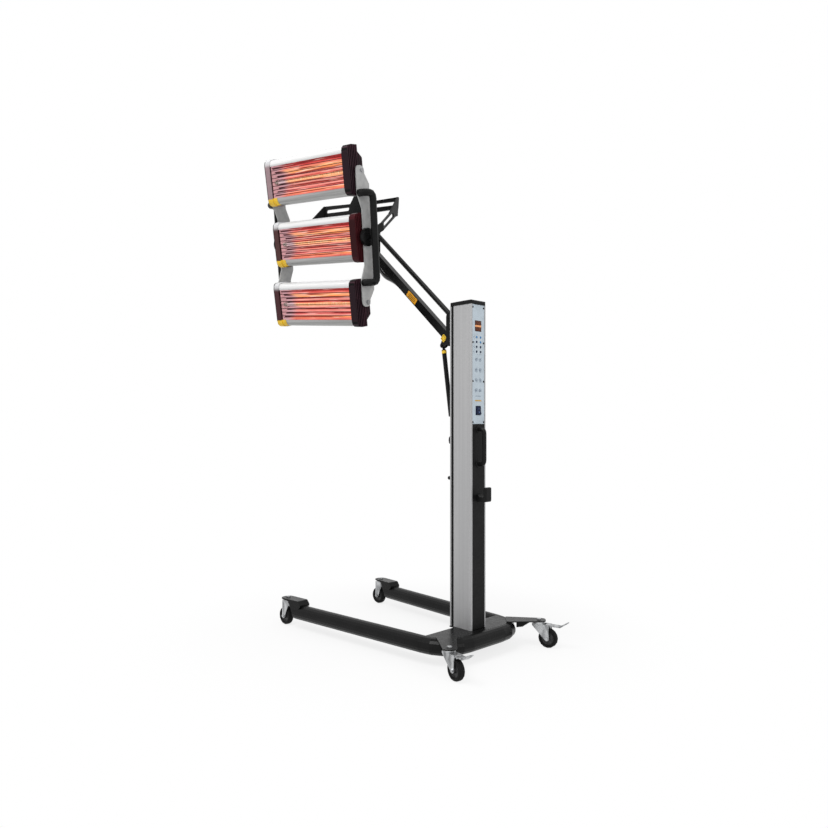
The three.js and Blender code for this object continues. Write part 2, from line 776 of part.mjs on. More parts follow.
// Arm: its origin is at the lower pivot, with its length along -Y before it is raised.
function mainArm() {
  const half = armWidth / 2;
  const rise = armHeight / 2;
  const wallBox = (inset, y0, y1) => block(-half + inset, half - inset, y0, y1, -rise + inset, rise - inset);
  const bore = boreFor(armPin);
  const eye = (y) => barX(rise, -half, half, y, 0, tubeSides);
  // The strut's ears and pin, in the arm's own frame.
  const strutPin = vec(0, -(strutTopReach - armPivotReach), strutTopHeight - armPivotHeight);
  strutPin.applyAxisAngle(vec(1, 0, 0), armAngle);
  const earInner = eyeThickness / 2 + seatGap;
  const earRadius = strutPinDiameter;
  const ear = outline([
    [strutPin.y - earRadius, strutPin.z - earRadius, earRadius * 0.9],
    [strutPin.y + earRadius, strutPin.z - earRadius, earRadius * 0.9],
    [strutPin.y + earRadius * 2, -rise + armWall],
    [strutPin.y - earRadius * 2, -rise + armWall],
  ]);
  const head = earInner + earThickness + boltHeadHeight;
  const body = cut(
    join(wallBox(0, -armLength + rise / 2, -rise / 2), eye(0), eye(-armLength)),
    wallBox(armWall, -armLength + rise * 1.5, -rise * 1.5),
    barX(bore, -half - overrun, half + overrun),
    barX(bore, -half - overrun, half + overrun, -armLength),
    barX(armWall, -overrun, half + overrun, -armLength + armHeight, 0),
  );
  const whole = join(
    body,
    plateX(ear, earInner, earInner + earThickness),
    plateX(ear, -earInner - earThickness, -earInner),
    barX(strutPinDiameter / 2, -head, head, strutPin.y, strutPin.z),
  );
  return piece("main_arm", whole, blackPowder);
}

// Conduit for the head's wires, under the arm's upper end. Same frame as the arm.
function armConduit() {
  const radius = armWidth * conduitShare;
  const along = (share, drop) => vec(0, -armLength * share, -radius * drop);
  const corners = [along(0.6, 0.3), along(0.7, 0.9), along(0.79, 2.2), along(0.89, 1.6)];
  const route = bendRoute(corners, radius * 1.8, 4);
  const arm = block(-armWidth, armWidth, -armLength, 0, -armHeight / 2 - seatGap, armHeight);
  return piece("arm_conduit", cut(tubeAlong(route, radius, 12), arm), blackPlastic);
}

// Link: a round rod over the arm, with an eye at each end. Same frame as the arm.
function linkRod() {
  const half = eyeThickness / 2;
  const bore = boreFor(armPin);
  const radius = linkDiameter / 2;
  const room = radius * 1.6;
  const eye = (y) => barX(radius * 1.2, -half, half, y, 0, tubeSides);
  const body = cut(
    join(barY(radius, -armLength + radius, -radius, 0, 0, 12), eye(0), eye(-armLength)),
    barX(bore, -radius - overrun, radius + overrun),
    barX(bore, -radius - overrun, radius + overrun, -armLength),
    ...[0, -armLength].flatMap((y) => [
      block(half, radius + overrun, y - room, y + room, -room, room),
      block(-radius - overrun, -half, y - room, y + room, -room, room),
    ]),
  );
  return piece("link_rod", body, blackPowder);
}

// Gas strut: both halves are drawn from the upper pin down along -Z.
const strutSpan = Math.hypot(strutTopReach - strutFootReach, strutTopHeight - strutFootHeight);

function strutCylinder() {
  const half = eyeThickness / 2;
  const radius = strutDiameter / 2;
  const eye = strutPinDiameter;
  const bore = boreFor(strutRodDiameter / 2);
  const body = cut(
    join(
      barX(eye, -half, half, 0, 0, 12),
      barZ(radius * 0.6, -eye * 2.4, -eye / 2),
      barZ(radius, -eye * 2 - strutLength, -eye * 2, 0, 0, 16),
    ),
    barX(boreFor(strutPinDiameter / 2), -half - overrun, half + overrun),
    barZ(bore, -eye * 2 - strutLength - overrun, -eye * 3, 0, 0),
  );
  return piece("strut_cylinder", body, blackPowder);
}

function strutRod() {
  const half = eyeThickness / 2;
  const eye = strutPinDiameter;
  const pinEnd = footCheekOuter + seatGap + boltHeadHeight;
  const washer = strutPinDiameter / 2 + strutFootPlay + washerLap;
  const body = join(
    barX(eye, -half, half, 0, -strutSpan, 12),
    barX(strutPinDiameter / 2, -pinEnd, pinEnd, 0, -strutSpan),
    barX(washer, footCheekOuter + seatGap, pinEnd, 0, -strutSpan, 16),
    barX(washer, -pinEnd, -footCheekOuter - seatGap, 0, -strutSpan, 16),
    barZ(strutRodDiameter / 2, -strutSpan + eye / 2, -strutLength * 0.6),
  );
  return piece("strut_rod", body, blackPowder);
}

const footCheekInner = eyeThickness / 2 + footClearance;
const footCheekOuter = footCheekInner + cheekThickness;

function strutBracket() {
  const seat = frontFace - seatGap;
  const bore = strutPinDiameter / 2 + strutFootPlay;
  const reach = bore + cheekThickness;
  const cheek = outline([
    [seat, strutFootHeight - reach * 1.4],
    [-strutFootReach - reach, strutFootHeight - reach, reach * 0.6],
    [-strutFootReach - reach, strutFootHeight + reach, reach * 0.6],
    [seat, strutFootHeight + reach * 1.4],
  ]);
  const body = join(
    cut(
      join(plateX(cheek, footCheekInner, footCheekOuter), plateX(cheek, -footCheekOuter, -footCheekInner)),
      barX(bore, -footCheekOuter - overrun, footCheekOuter + overrun, -strutFootReach, strutFootHeight, 16),
    ),
    block(
      -cheekOuter, cheekOuter, seat - cheekThickness / 2, seat,
      strutFootHeight - reach * 1.8, strutFootHeight + reach * 1.8,
    ),
  );
  return piece("strut_bracket", body, blackPowder);
}

// Knuckle: its origin is at the arm's upper pivot. Its post leans back with the swivel axis.
function knuckle() {
  const wrap = pinDiameter * 1.5;
  const back = cheekThickness * 1.2;
  const front = -swivelAhead + hubDiameter * 0.3;
  const cheek = outline([
    [wrap, -wrap, wrap * 0.7],
    [wrap, linkRise + wrap, wrap * 0.7],
    [front, hubBottomRise - seatGap - cheekThickness],
    [-swivelAhead - hubDiameter * 0.35, hubBottomRise - seatGap - cheekThickness],
    [-swivelAhead - hubDiameter * 0.35, linkRise],
    [front - back, -wrap * 0.6, wrap * 0.5],
  ]);
  const web = outline([
    [front - back, -wrap * 0.4],
    [front, -wrap * 0.4],
    [front, hubBottomRise - cheekThickness],
    [front - back, hubBottomRise - cheekThickness],
  ]);
  const heights = [0, linkRise];
  const reach = cheekOuter + boltHeadHeight;
  const head = (z, side) => {
    const x0 = side > 0 ? cheekOuter - seatGap : -reach;
    return barX(armPin * 1.5, x0, x0 + boltHeadHeight + seatGap, 0, z, 6);
  };
  const postBase = barZ(hubDiameter / 2, linkRise, hubBottomRise - seatGap, 0, 0, 16);
  const post = barZ(swivelPinDiameter / 2, linkRise, hubTopRise + seatGap * 2, 0, 0, 16);
  const cap = barZ(swivelPinDiameter * 0.8, hubTopRise + seatGap, hubTopRise + boltHeadHeight * 1.5, 0, 0, 16);
  const leaning = (body) =>
    body.rotate([-THREE.MathUtils.radToDeg(swivelLean), 0, 0]).translate([0, -swivelAhead, 0]);
  const body = join(
    plateX(cheek, cheekInner, cheekOuter),
    plateX(cheek, -cheekOuter, -cheekInner),
    plateX(web, -cheekOuter, cheekOuter),
    ...heights.map((z) => barX(armPin, -reach, reach, 0, z)),
    ...heights.flatMap((z) => [head(z, 1), head(z, -1)]),
    leaning(postBase),
    leaning(post),
    leaning(cap),
  );
  return piece("knuckle", body, blackPowder);
}

// Lengths across the head
const capOuter = shellLength / 2 + seatGap + capLength;
const plateInner = capOuter + sidePlateGap;
const plateOuter = plateInner + sidePlateThickness;
const discInner = plateOuter + seatGap;

// Yoke: drawn from the tilt axis, with the crossbar behind and above it and a hub on the swivel axis.
function yoke() {
  const half = yokePlate / 2;
  const bar = (crossbarHigh - crossbarLow) / 3.2;
  const middle = (crossbarLow + crossbarHigh) / 2;
  const shoulder = humpHalf * 1.4;
  const face = outline([
    [crossbarHalf + half, crossbarLow, half],
    [crossbarHalf + half, crossbarHigh, half],
    [shoulder, crossbarHigh - half, half],
    [humpHalf * 0.8, crossbarHigh + humpRise, half],
    [-humpHalf * 0.8, crossbarHigh + humpRise, half],
    [-shoulder, crossbarHigh - half, half],
    [-crossbarHalf - half, crossbarHigh, half],
    [-crossbarHalf - half, crossbarLow, half],
    [-shoulder, crossbarLow - half, half],
    [-humpHalf * 0.6, crossbarLow - humpRise / 2, half],
    [humpHalf * 0.6, crossbarLow - humpRise / 2, half],
    [shoulder, crossbarLow - half, half],
  ]);
  const slotEnd = crossbarHalf - bar;
  const slot = (side) => {
    const [a, b] = [side * shoulder * 1.1, side * slotEnd];
    const [z0, z1] = [middle - bar / 2, middle + bar / 2];
    return plateX(
      outline([[Math.min(a, b), z0, bar / 2.1], [Math.max(a, b), z0, bar / 2.1],
        [Math.max(a, b), z1, bar / 2.1], [Math.min(a, b), z1, bar / 2.1]]),
      -crossbarSetBack - yokePlate, -crossbarSetBack + yokePlate,
    );
  };
  const crossbar = cut(plateX(face, -crossbarSetBack - half, -crossbarSetBack + half), slot(1), slot(-1));
  // One side arm, drawn flat in X and Z, bent in two at the end of its straight stretch.
  const footZ = crossbarLow - yokeArmWidth * 0.9;
  const tilt = Math.atan2(footZ + yokeArmWidth / 2, crossbarSetBack);
  const endX = -crossbarSetBack - half;
  const acrossX = (yokeArmWidth / 2) * Math.sin(tilt);
  const acrossZ = (yokeArmWidth / 2) * Math.cos(tilt);
  const knee = -yokeStraight * Math.cos(tilt);
  const kneeZ = yokeStraight * Math.sin(tilt);
  const inward = plateOuter + seatGap + half - crossbarHalf;
  const slant = Math.atan2(inward, crossbarSetBack + knee);
  const near = outline([
    [acrossX, acrossZ],
    [knee + acrossX, kneeZ + acrossZ],
    [knee - acrossX, kneeZ - acrossZ],
    [-acrossX, -acrossZ],
  ].reverse());
  const stretch = 1 / Math.cos(slant);
  const far = outline([
    [acrossX * stretch, acrossZ],
    [(yokeWingAhead - crossbarSetBack - knee) * stretch, yokeWingRise - kneeZ],
    [(endX - knee + yokePlate) * stretch, crossbarHigh - kneeZ],
    [(endX - knee) * stretch, crossbarHigh - kneeZ],
    [(endX - knee) * stretch, footZ - kneeZ, half],
    [(endX - knee + yokeArmWidth * 0.6) * stretch, footZ - kneeZ - yokeArmWidth * 0.2, half],
    [-acrossX * stretch, -acrossZ],
  ].reverse());
  const lighten = (from, to, run, rise) => {
    const p = (share, across) => [
      run * share + across * acrossX * 0.55,
      rise * share + across * acrossZ * 0.55,
    ];
    return outline([p(from, 1), p(from, -1), p(to, -1), p(to, 1)].map(([x, z]) => [x, z, acrossZ * 0.5]));
  };
  const farRun = (endX - knee + yokeArmWidth * 0.6) * stretch;
  const farRise = (footZ + crossbarLow) / 2 - kneeZ;
  const arm = (side) => {
    const inner = discInner;
    const outer = discInner + yokePlate;
    const straight = plateY(near, inner, outer);
    const slanted = cut(
      plateY(far, -yokePlate, 0),
      plateY(lighten(0.08, 0.8, farRun, farRise), -yokePlate - overrun, overrun),
    );
    const turnedIn = slanted
      .rotate([0, 0, THREE.MathUtils.radToDeg(slant)])
      .translate([knee, outer, kneeZ]);
    const disc = barY(discRadius, inner, inner + discThickness, 0, 0, 20);
    const bend = barY(yokePlate * 0.2, inner, outer, knee, kneeZ);
    const pin = barY(tiltPinRadius, plateInner + seatGap, inner + discThickness, 0, 0, 12);
    const top = inner + discThickness;
    const head = barY(boltDiameter * 1.4, top - seatGap, top + boltHeadHeight, 0, 0, 6);
    const whole = join(straight, turnedIn, disc, bend, pin, head);
    return side > 0 ? whole : whole.mirror([0, 1, 0]);
  };
  // Hub on the swivel pin, with a web to the crossbar.
  const axis = -tiltAhead;
  const hubLow = hubBottomRise - tiltRise;
  const hubHigh = hubTopRise - tiltRise;
  const web = block(
    axis, -crossbarSetBack, -humpHalf * 0.5, humpHalf * 0.5,
    Math.max(hubLow, crossbarLow - humpRise / 2), hubHigh,
  );
  const hub = cut(
    join(barZ(hubDiameter / 2, hubLow, hubHigh, axis, 0, 16), web),
    barZ(boreFor(swivelPinDiameter / 2, 16), hubLow - overrun, hubHigh + overrun, axis, 0, 16),
  );
  return piece("yoke", join(crossbar, arm(1), arm(-1), hub), blackPowder);
}

// Side plate: drawn from the tilt axis, with a bore for each cassette's bolt and for the yoke's pin.
const cassettePlaces = [
  ["upper", cassettePivotAhead, cassettePitch],
  ["middle", cassettePivotAhead - middleSetBack, 0],
  ["lower", cassettePivotAhead, -cassettePitch],
];

function sidePlate(name, side) {
  const half = (sign) => [
    [-sidePlateWaist, sign * waistEnd],
    [-sidePlateHip, sign * hipLow],
    [-sidePlateHip, sign * hipHigh],
    [-sidePlateTail, sign * (cassettePitch - sidePlateEnd / 2)],
    [-sidePlateTail, sign * sidePlateHalf, sidePlateEnd],
    [sidePlateFront, sign * sidePlateHalf, sidePlateEnd],
    [sidePlateFront, sign * neckEnd],
    [sidePlateNeck, sign * waistEnd],
  ];
  const shape = outline([...half(-1).reverse(), ...half(1)]);
  const bores = cassettePlaces.map(([, x, z]) =>
    barY(boreFor(boltDiameter / 2), plateInner - overrun, plateOuter + overrun, x, z),
  );
  const hinge = barY(boreFor(tiltPinRadius, 12), plateInner - overrun, plateOuter + overrun, 0, 0, 12);
  const body = cut(plateY(shape, plateInner, plateOuter), hinge, ...bores);
  return piece(name, side > 0 ? body : body.mirror([0, 1, 0]), satinAluminium);
}

// Bow: a bent tube outside each side plate, for turning the head by hand.
function bow(name, side) {
  const seat = plateOuter + seatGap;
  const out = plateOuter + bowStandOff;
  const route = [
    vec(bowAhead, seat, bowTop),
    vec(bowAhead, out, bowTop),
    vec(-bowBehind, out, bowTop),
    vec(-bowBehind, out, -bowLow),
    vec(bowAhead, out, -bowLow),
    vec(bowAhead, seat, -bowLow),
  ];
  const tube = tubeAlong(bendRoute(route, bowBend, 3), bowDiameter / 2, 12);
  return piece(name, side > 0 ? tube : tube.mirror([0, 1, 0]), blackPowder);
}

// Cassette: its origin is at its own pivot, its front faces +X and its length lies along Y.
const shellBack = cassetteFront - shellDepth;
const housingBack = shellBack - seatGap - housingDepth;

function shellProfile() {
  const front = cassetteFront;
  const inner = front - shellWall;
  const bend = front - lipRound;
  const top = shellHalfHeight - shellWall;
  const shape = new THREE.Shape();
  shape.moveTo(shellBack, -shellHalfHeight);
  shape.lineTo(bend, -shellHalfHeight);
  shape.quadraticCurveTo(front, -shellHalfHeight, front, -openingHalfHeight);
  shape.lineTo(inner, -openingHalfHeight);
  shape.quadraticCurveTo(inner, -top, bend, -top);
  shape.lineTo(shellBack + shellWall, -top);
  shape.lineTo(shellBack + shellWall, top);
  shape.lineTo(bend, top);
  shape.quadraticCurveTo(inner, top, inner, openingHalfHeight);
  shape.lineTo(front, openingHalfHeight);
  shape.quadraticCurveTo(front, shellHalfHeight, bend, shellHalfHeight);
  shape.lineTo(shellBack, shellHalfHeight);
  shape.closePath();
  return shape;
}

// A trough: both faces of the reflector follow the same parabola.
function reflectorProfile() {
  const rim = cassetteFront - shellWall - seatGap;
  const half = openingHalfHeight + reflectorWall;
  const steps = 8;
  const share = Array.from({ length: steps + 1 }, (_, i) => (2 * i) / steps - 1);
  const inside = share.map((s) => [rim - reflectorDepth * (1 - s * s), s * (half - reflectorWall)]);
  const outside = share.map((s) => [
    rim - (reflectorDepth + reflectorWall) * (1 - s * s),
    s * half,
  ]);
  return outline([...inside, ...outside.reverse()].reverse());
}

// A headed bolt holds its cap outside the side plate, a plain pin ends inside the plate.
function capBody(headed) {
  const front = cassetteFront + capProud;
  const half = shellHalfHeight + capProud;
  const back = shellBack - capProud;
  const face = outline([
    [back, -half, capProud],
    [front, -half, lipRound],
    [front, half, lipRound],
    [back, half, capProud],
  ]);
  const tail = outline([
    [housingBack, -housingBackHalfHeight, capProud],
    [shellBack, -housingHalfHeight],
    [shellBack, housingHalfHeight],
    [housingBack, housingBackHalfHeight, capProud],
  ]);
  const inner = shellLength / 2 + seatGap;
  const grooves = Array.from({ length: ribCount }, (_, i) => {
    const x = (front + back) / 2 + (i - (ribCount - 1) / 2) * ribPitch;
    const low = -half - overrun;
    return block(x - ribGroove / 2, x + ribGroove / 2, capOuter - ribDepth, capOuter + overrun, low, -low);
  });
  const seated = join(
    cut(plateY(face, inner, capOuter), ...grooves),
    plateY(tail, inner, capOuter - ribDepth),
    barY(boltDiameter * 1.5, capOuter - ribDepth - seatGap, plateInner - seatGap, 0, 0, 10),
    barY(boltDiameter / 2, capOuter, headed ? plateOuter + boltHeadHeight : plateOuter - seatGap, 0, 0, 8),
  );
  const bolt = barY(boltHead / 2, plateOuter + seatGap, plateOuter + seatGap + boltHeadHeight, 0, 0, 6);
  return headed ? join(seated, bolt) : seated;
}

function grilleBody() {
  const x = cassetteFront - shellWall / 2;
  const radius = wireDiameter / 2;
  const end = shellLength / 2 - seatGap;
  const post = openingHalfHeight - seatGap;
  const wires = Array.from({ length: wireCount }, (_, i) =>
    barY(radius, -end + radius, end - radius, x, (i - (wireCount - 1) / 2) * wirePitch, 6),
  );
  const posts = [-1, 1].map((side) => {
    const [y0, y1] = side > 0 ? [end - 2 * radius, end] : [-end, -end + 2 * radius];
    return block(x - radius * 1.1, x + radius * 1.1, y0, y1, -post, post);
  });
  return join(posts[0], posts[1], ...wires);
}

function lampBody() {
  const end = shellLength / 2 - seatGap;
  const x = cassetteFront - lampBehindFront;
  const inner = end - lampEndLength;
  return join(
    barY(lampDiameter / 2, -inner - reflectorWall, inner + reflectorWall, x, 0, 10),
    barY(lampEndDiameter / 2, inner, end, x, 0, 10),
    barY(lampEndDiameter / 2, -end, -inner, x, 0, 10),
  );
}

function cassette(name, headed) {
  const half = shellLength / 2;
  const housing = outline([
    [housingBack, -housingBackHalfHeight, capProud],
    [shellBack - seatGap, -housingHalfHeight],
    [shellBack - seatGap, housingHalfHeight],
    [housingBack, housingBackHalfHeight, capProud],
  ]);
  const cap = capBody(headed);
  return [
    piece(name + "_shell", plateY(shellProfile(), -half, half), brightAluminium),
    piece(name + "_reflector", plateY(reflectorProfile(), -half + seatGap, half - seatGap), reflectorGold),
    piece(name + "_quartz_lamp", lampBody(), quartz),
    piece(name + "_grille", grilleBody(), steelWire),
    piece(name + "_rear_housing", plateY(housing, -half, half), blackPlastic),
    piece(name + "_cap_right", cap, ribbedPlastic),
    piece(name + "_cap_left", cap.mirror([0, 1, 0]), ribbedPlastic),
  ];
}

// Base
const stand = new THREE.Group();
stand.add(
  baseTube(), deckPlate(),
  frontMount("front_mount_right", 1), frontMount("front_mount_left", -1),
  rearMount("rear_mount_right", 1), rearMount("rear_mount_left", -1),
  column(), topCap(), ...panelPieces(), rearCover(), rearHandle(), cableHook(), frontClip(),
  armBracket(), strutBracket(),
);
for (const [where, side] of [["right", 1], ["left", -1]]) {
  const front = assembly("front_caster_" + where, vec(side * frontKingpinSpan, -frontKingpinReach, 0),
    ...caster("front_" + where, frontPlateTop, frontTrail, false));
  front.rotation.z = Math.PI;
  const rear = assembly("rear_caster_" + where, vec(side * rearKingpinSpan, rearKingpinReach, 0),
    ...caster("rear_" + where, rearPlateTop, rearTrail, true));
  rear.rotation.z = -side * rearToeOut;
  stand.add(front, rear);
}

// Arm, link and strut
const arm = assembly("arm_lift", vec(0, -armPivotReach, armPivotHeight), mainArm(), armConduit());
const link = assembly("link_hinge", vec(0, -armPivotReach, armPivotHeight + linkRise), linkRod());
arm.rotation.x = -armAngle;
link.rotation.x = -armAngle;
const strut = assembly("strut_hinge", vec(0, -strutTopReach, strutTopHeight), strutCylinder(), strutRod());
strut.rotation.x = Math.atan2(strutTopReach - strutFootReach, strutTopHeight - strutFootHeight);

// Head
const cassettes = cassettePlaces.map(([name, x, z]) => {
  const made = assembly(name + "_tilt", vec(x, 0, z), ...cassette(name, x > 0));
  made.rotation.y = cassettePitchDown;
  return made;
});
const head = assembly("head_tilt", vec(0, 0, 0),
  sidePlate("side_plate_right", 1), sidePlate("side_plate_left", -1),
  bow("bow_right", 1), bow("bow_left", -1), ...cassettes);
head.rotation.y = headPitch;
const aim = assembly("aim", vec(tiltAhead, 0, tiltRise), yoke(), head);
const swivel = assembly("head_swivel", vec(0, -swivelAhead, 0), aim);
swivel.rotation.set(-swivelLean, 0, headYaw, "XYZ");
const wristPlace = vec(0, -armLength * Math.cos(armAngle), armLength * Math.sin(armAngle)).add(arm.position);
const wrist = assembly("knuckle_level", wristPlace, knuckle(), swivel);

// The frame's origin is at the middle of the whole part's box, on the floor.
const lamp = new THREE.Group();
lamp.add(stand, arm, link, strut, wrist);
lamp.updateMatrixWorld(true);
const box = new THREE.Box3().setFromObject(lamp, true);
lamp.position.set(-(box.min.x + box.max.x) / 2, -(box.min.y + box.max.y) / 2, -box.min.z);

export default lamp;
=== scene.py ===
# %% [markdown]
# # A workshop lamp that bakes paint
# This lesson dresses the solids of a mobile infrared lamp: three glowing cassettes on a tilting head,
# an arm with a gas strut, a silver column and a low black base on casters. The whole lamp could be
# modelled afresh here. But its solids come from the CAD model, with every joint in its place, so they
# stay where they are and get finishes, and only the thin and printed pieces are made here.

import json
import math

import bmesh
import bpy
from mathutils import Matrix, Vector


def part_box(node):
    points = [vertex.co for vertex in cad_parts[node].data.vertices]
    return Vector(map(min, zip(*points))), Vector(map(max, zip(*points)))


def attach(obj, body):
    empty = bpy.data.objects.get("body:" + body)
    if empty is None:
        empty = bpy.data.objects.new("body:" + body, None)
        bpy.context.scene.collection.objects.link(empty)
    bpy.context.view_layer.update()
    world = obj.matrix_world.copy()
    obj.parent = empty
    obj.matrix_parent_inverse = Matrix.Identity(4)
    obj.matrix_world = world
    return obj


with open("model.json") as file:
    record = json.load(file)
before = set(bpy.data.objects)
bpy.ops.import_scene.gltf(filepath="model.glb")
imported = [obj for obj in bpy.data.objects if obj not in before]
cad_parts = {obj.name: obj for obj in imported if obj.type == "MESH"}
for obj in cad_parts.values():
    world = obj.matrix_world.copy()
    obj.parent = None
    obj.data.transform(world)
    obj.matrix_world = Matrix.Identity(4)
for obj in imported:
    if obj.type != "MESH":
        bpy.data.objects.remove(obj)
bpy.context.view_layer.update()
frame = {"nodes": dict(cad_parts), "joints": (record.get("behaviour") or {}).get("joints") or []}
nodes = frame["nodes"]

# %% [markdown]
# ## Where things are
# Every group of the lamp has its own directions: the column stands straight, the arm leans up and
# forward, and the head leans, turns and nods. A small piece could be placed by its coordinates in the
# room, but those say little to a maker. The joints of the model say where each group turns, so a place
# in the model is one of those points, a turn, and a length in millimetres from there.

# %% Pivots and directions
MM = 0.001
pivot = {joint["name"]: Vector(joint["pos_m"]) for joint in frame["joints"] if "pos_m" in joint}
low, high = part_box("column")
foot = Vector(((low.x + high.x) / 2, (low.y + high.y) / 2, 0))


def turned_by(degrees, axis):
    return Matrix.Rotation(math.radians(degrees), 4, axis)


# How far each group is turned, in degrees.
ARM_RISE = 42.4
HEAD_LEAN = -5.16
HEAD_TURN = 7.8
HEAD_NOD = 9.5
CASSETTE_NOD = 3
REAR_TOE_OUT = 12

head_turn = turned_by(HEAD_LEAN, "X") @ turned_by(HEAD_TURN, "Z") @ turned_by(HEAD_NOD, "Y")
CASSETTES = ("upper", "middle", "lower")
cassette_place = {
    name: Matrix.Translation(pivot[name + "_cassette_tilt"]) @ head_turn @ turned_by(CASSETTE_NOD, "Y")
    for name in CASSETTES
}
head_place = Matrix.Translation(pivot["head_tilt"]) @ head_turn
arm_place = Matrix.Translation(pivot["arm_lift"]) @ turned_by(-ARM_RISE, "X")
column_place = Matrix.Translation(foot)
WHEELS = {"front_right": 0, "front_left": 0, "rear_right": -REAR_TOE_OUT, "rear_left": REAR_TOE_OUT}
wheel_place = {
    name: Matrix.Translation(pivot[name + "_roll"]) @ turned_by(toe, "Z") for name, toe in WHEELS.items()
}
print("column's foot:", [round(v, 4) for v in foot], "pivots:", len(pivot))

# %% [markdown]
# ## The camera
# The lamp is seen from about 2.8 m away and a little below its middle. The camera could be moved by eye
# until the picture fits. Its height, heading and lens were solved instead, from the wheels, the column
# and the base in the photograph. It looks level, and a small shift of the lens takes the place of tilting
# it, which keeps the column's edges upright.

# %% Camera
PICTURE_SIZE = 828  # pixels
LENS_SHIFT = 10.5  # pixels
CAMERA_FROM_FOOT = Vector((2.0737, 1.8342, 0.860))
CAMERA_HEADING = 135.69  # degrees
scene = bpy.context.scene
camera_data = bpy.data.cameras.new("camera")
camera_data.sensor_width = 36
camera_data.lens = 31.73
camera_data.shift_y = LENS_SHIFT / PICTURE_SIZE
camera = bpy.data.objects.new("camera", camera_data)
camera.location = foot + CAMERA_FROM_FOOT
camera.rotation_euler = (math.pi / 2, 0, math.radians(CAMERA_HEADING))
scene.collection.objects.link(camera)
scene.camera = camera
scene.view_settings.view_transform = "Standard"
print("camera stands", round((camera.location - foot).xy.length, 2), "m from the column")

# %% [markdown]
# ## Finishes
# Real paint, metal and rubber are never one even colour: their tone and gloss wander a little, and they
# have a fine grain. All this could be painted as pictures and wrapped round the solids, which blur from
# near. So each finish is one material made of shader nodes, from a few shared building blocks. Noise is
# read in a group's own directions and in metres, so grain keeps its true size, drawn lines follow the
# metal, and everything stays in place when a joint moves.

# %% A kit of nodes
# A mix node has a row of sockets for each kind of value, and these are the ones for colours.
COLOUR_A, COLOUR_B, MIXED_COLOUR = 6, 7, 2


class NodeKit:
    """Adds nodes to one tree and links them."""

    def __init__(self, tree):
        self.tree = tree

    def add(self, kind, **settings):
        node = self.tree.nodes.new(kind)
        for key, value in settings.items():
            setattr(node, key, value)
        return node

    def link(self, source, target):
        self.tree.links.new(source, target)

    def set(self, socket, value):
        """A socket takes another node's result, a colour or a number."""
        if isinstance(value, bpy.types.NodeSocket):
            self.link(value, socket)
        elif isinstance(value, tuple):
            socket.default_value = (*value[:3], 1)
        else:
            socket.default_value = value

    def calculate(self, operation, first, second=0.0, third=0.0):
        node = self.add("ShaderNodeMath", operation=operation)
        for socket, value in zip(node.inputs, (first, second, third)):
            self.set(socket, value)
        return node.outputs[0]

    def step(self, source, start, end, low_value=0.0, high_value=1.0, curve="SMOOTHSTEP"):
        """Goes from the low to the high value while the source goes from start to end."""
        node = self.add("ShaderNodeMapRange", interpolation_type=curve)
        for name, value in (("Value", source), ("From Min", start), ("From Max", end),
                            ("To Min", low_value), ("To Max", high_value)):
            self.set(node.inputs[name], value)
        return node.outputs["Result"]

    def blend(self, share, first, second):
        node = self.add("ShaderNodeMix", data_type="RGBA")
        self.set(node.inputs["Factor"], share)
        self.set(node.inputs[COLOUR_A], first)
        self.set(node.inputs[COLOUR_B], second)
        return node.outputs[MIXED_COLOUR]


print("kit of nodes ready")


# %% Patterns of a finish
class Finish(NodeKit):
    """One material around one shader; place gives the directions that its patterns follow."""

    def __init__(self, name, colour, roughness, metallic=0.0, place=None, sheen=0.5):
        self.material = bpy.data.materials.new(name)
        self.material.use_nodes = True
        super().__init__(self.material.node_tree)
        self.shader = self.tree.nodes["Principled BSDF"]
        self.give("Base Color", colour)
        self.give("Roughness", roughness)
        self.give("Metallic", metallic)
        self.give("Specular IOR Level", sheen)
        self.place = self.add("ShaderNodeTexCoord").outputs["Object"]
        if place:
            local = self.add("ShaderNodeMapping", vector_type="TEXTURE")
            local.inputs["Location"].default_value = place.translation
            local.inputs["Rotation"].default_value = place.to_euler()
            self.link(self.place, local.inputs["Vector"])
            self.place = local.outputs["Vector"]

    def give(self, name, value):
        self.set(self.shader.inputs[name], value)

    def coordinate(self, axis):
        parts = self.add("ShaderNodeSeparateXYZ")
        self.link(self.place, parts.inputs[0])
        return parts.outputs[axis]

    def noise(self, scale, detail=3.0, stretch=(1, 1, 1)):
        mapping = self.add("ShaderNodeMapping")
        mapping.inputs["Scale"].default_value = stretch
        self.link(self.place, mapping.inputs["Vector"])
        noise = self.add("ShaderNodeTexNoise")
        noise.inputs["Scale"].default_value = scale
        noise.inputs["Detail"].default_value = detail
        self.link(mapping.outputs["Vector"], noise.inputs["Vector"])
        return noise.outputs["Fac"]

    def ramp(self, source, stops):
        """Colours at their positions along the source."""
        node = self.add("ShaderNodeValToRGB")
        elements = node.color_ramp.elements
        while len(elements) < len(stops):
            elements.new(0.5)
        for element, (position, colour) in zip(elements, stops):
            element.position = position
            element.color = (*colour, 1)
        self.link(source, node.inputs["Fac"])
        return node.outputs["Color"]

    def bump(self, scale, distance, strength=0.5, detail=2.0, stretch=(1, 1, 1)):
        """Fine grain, with its height in metres."""
        node = self.add("ShaderNodeBump")
        node.inputs["Distance"].default_value = distance
        node.inputs["Strength"].default_value = strength
        self.link(self.noise(scale, detail, stretch), node.inputs["Height"])
        self.give("Normal", node.outputs["Normal"])
        return self

    def wander(self, first, second, scale, stretch=(1, 1, 1)):
        """A base colour that drifts between two tones."""
        share = self.step(self.noise(scale, stretch=stretch), 0.3, 0.7)
        colour = self.blend(share, first, second)
        self.give("Base Color", colour)
        return colour

    def patina(self, first, second, scale, stretch=(1, 1, 1)):
        """A roughness that drifts between two values."""
        roughness = self.step(self.noise(scale, stretch=stretch), 0.3, 0.7, first, second)
        self.give("Roughness", roughness)
        return self


print("finishes can now be mixed")

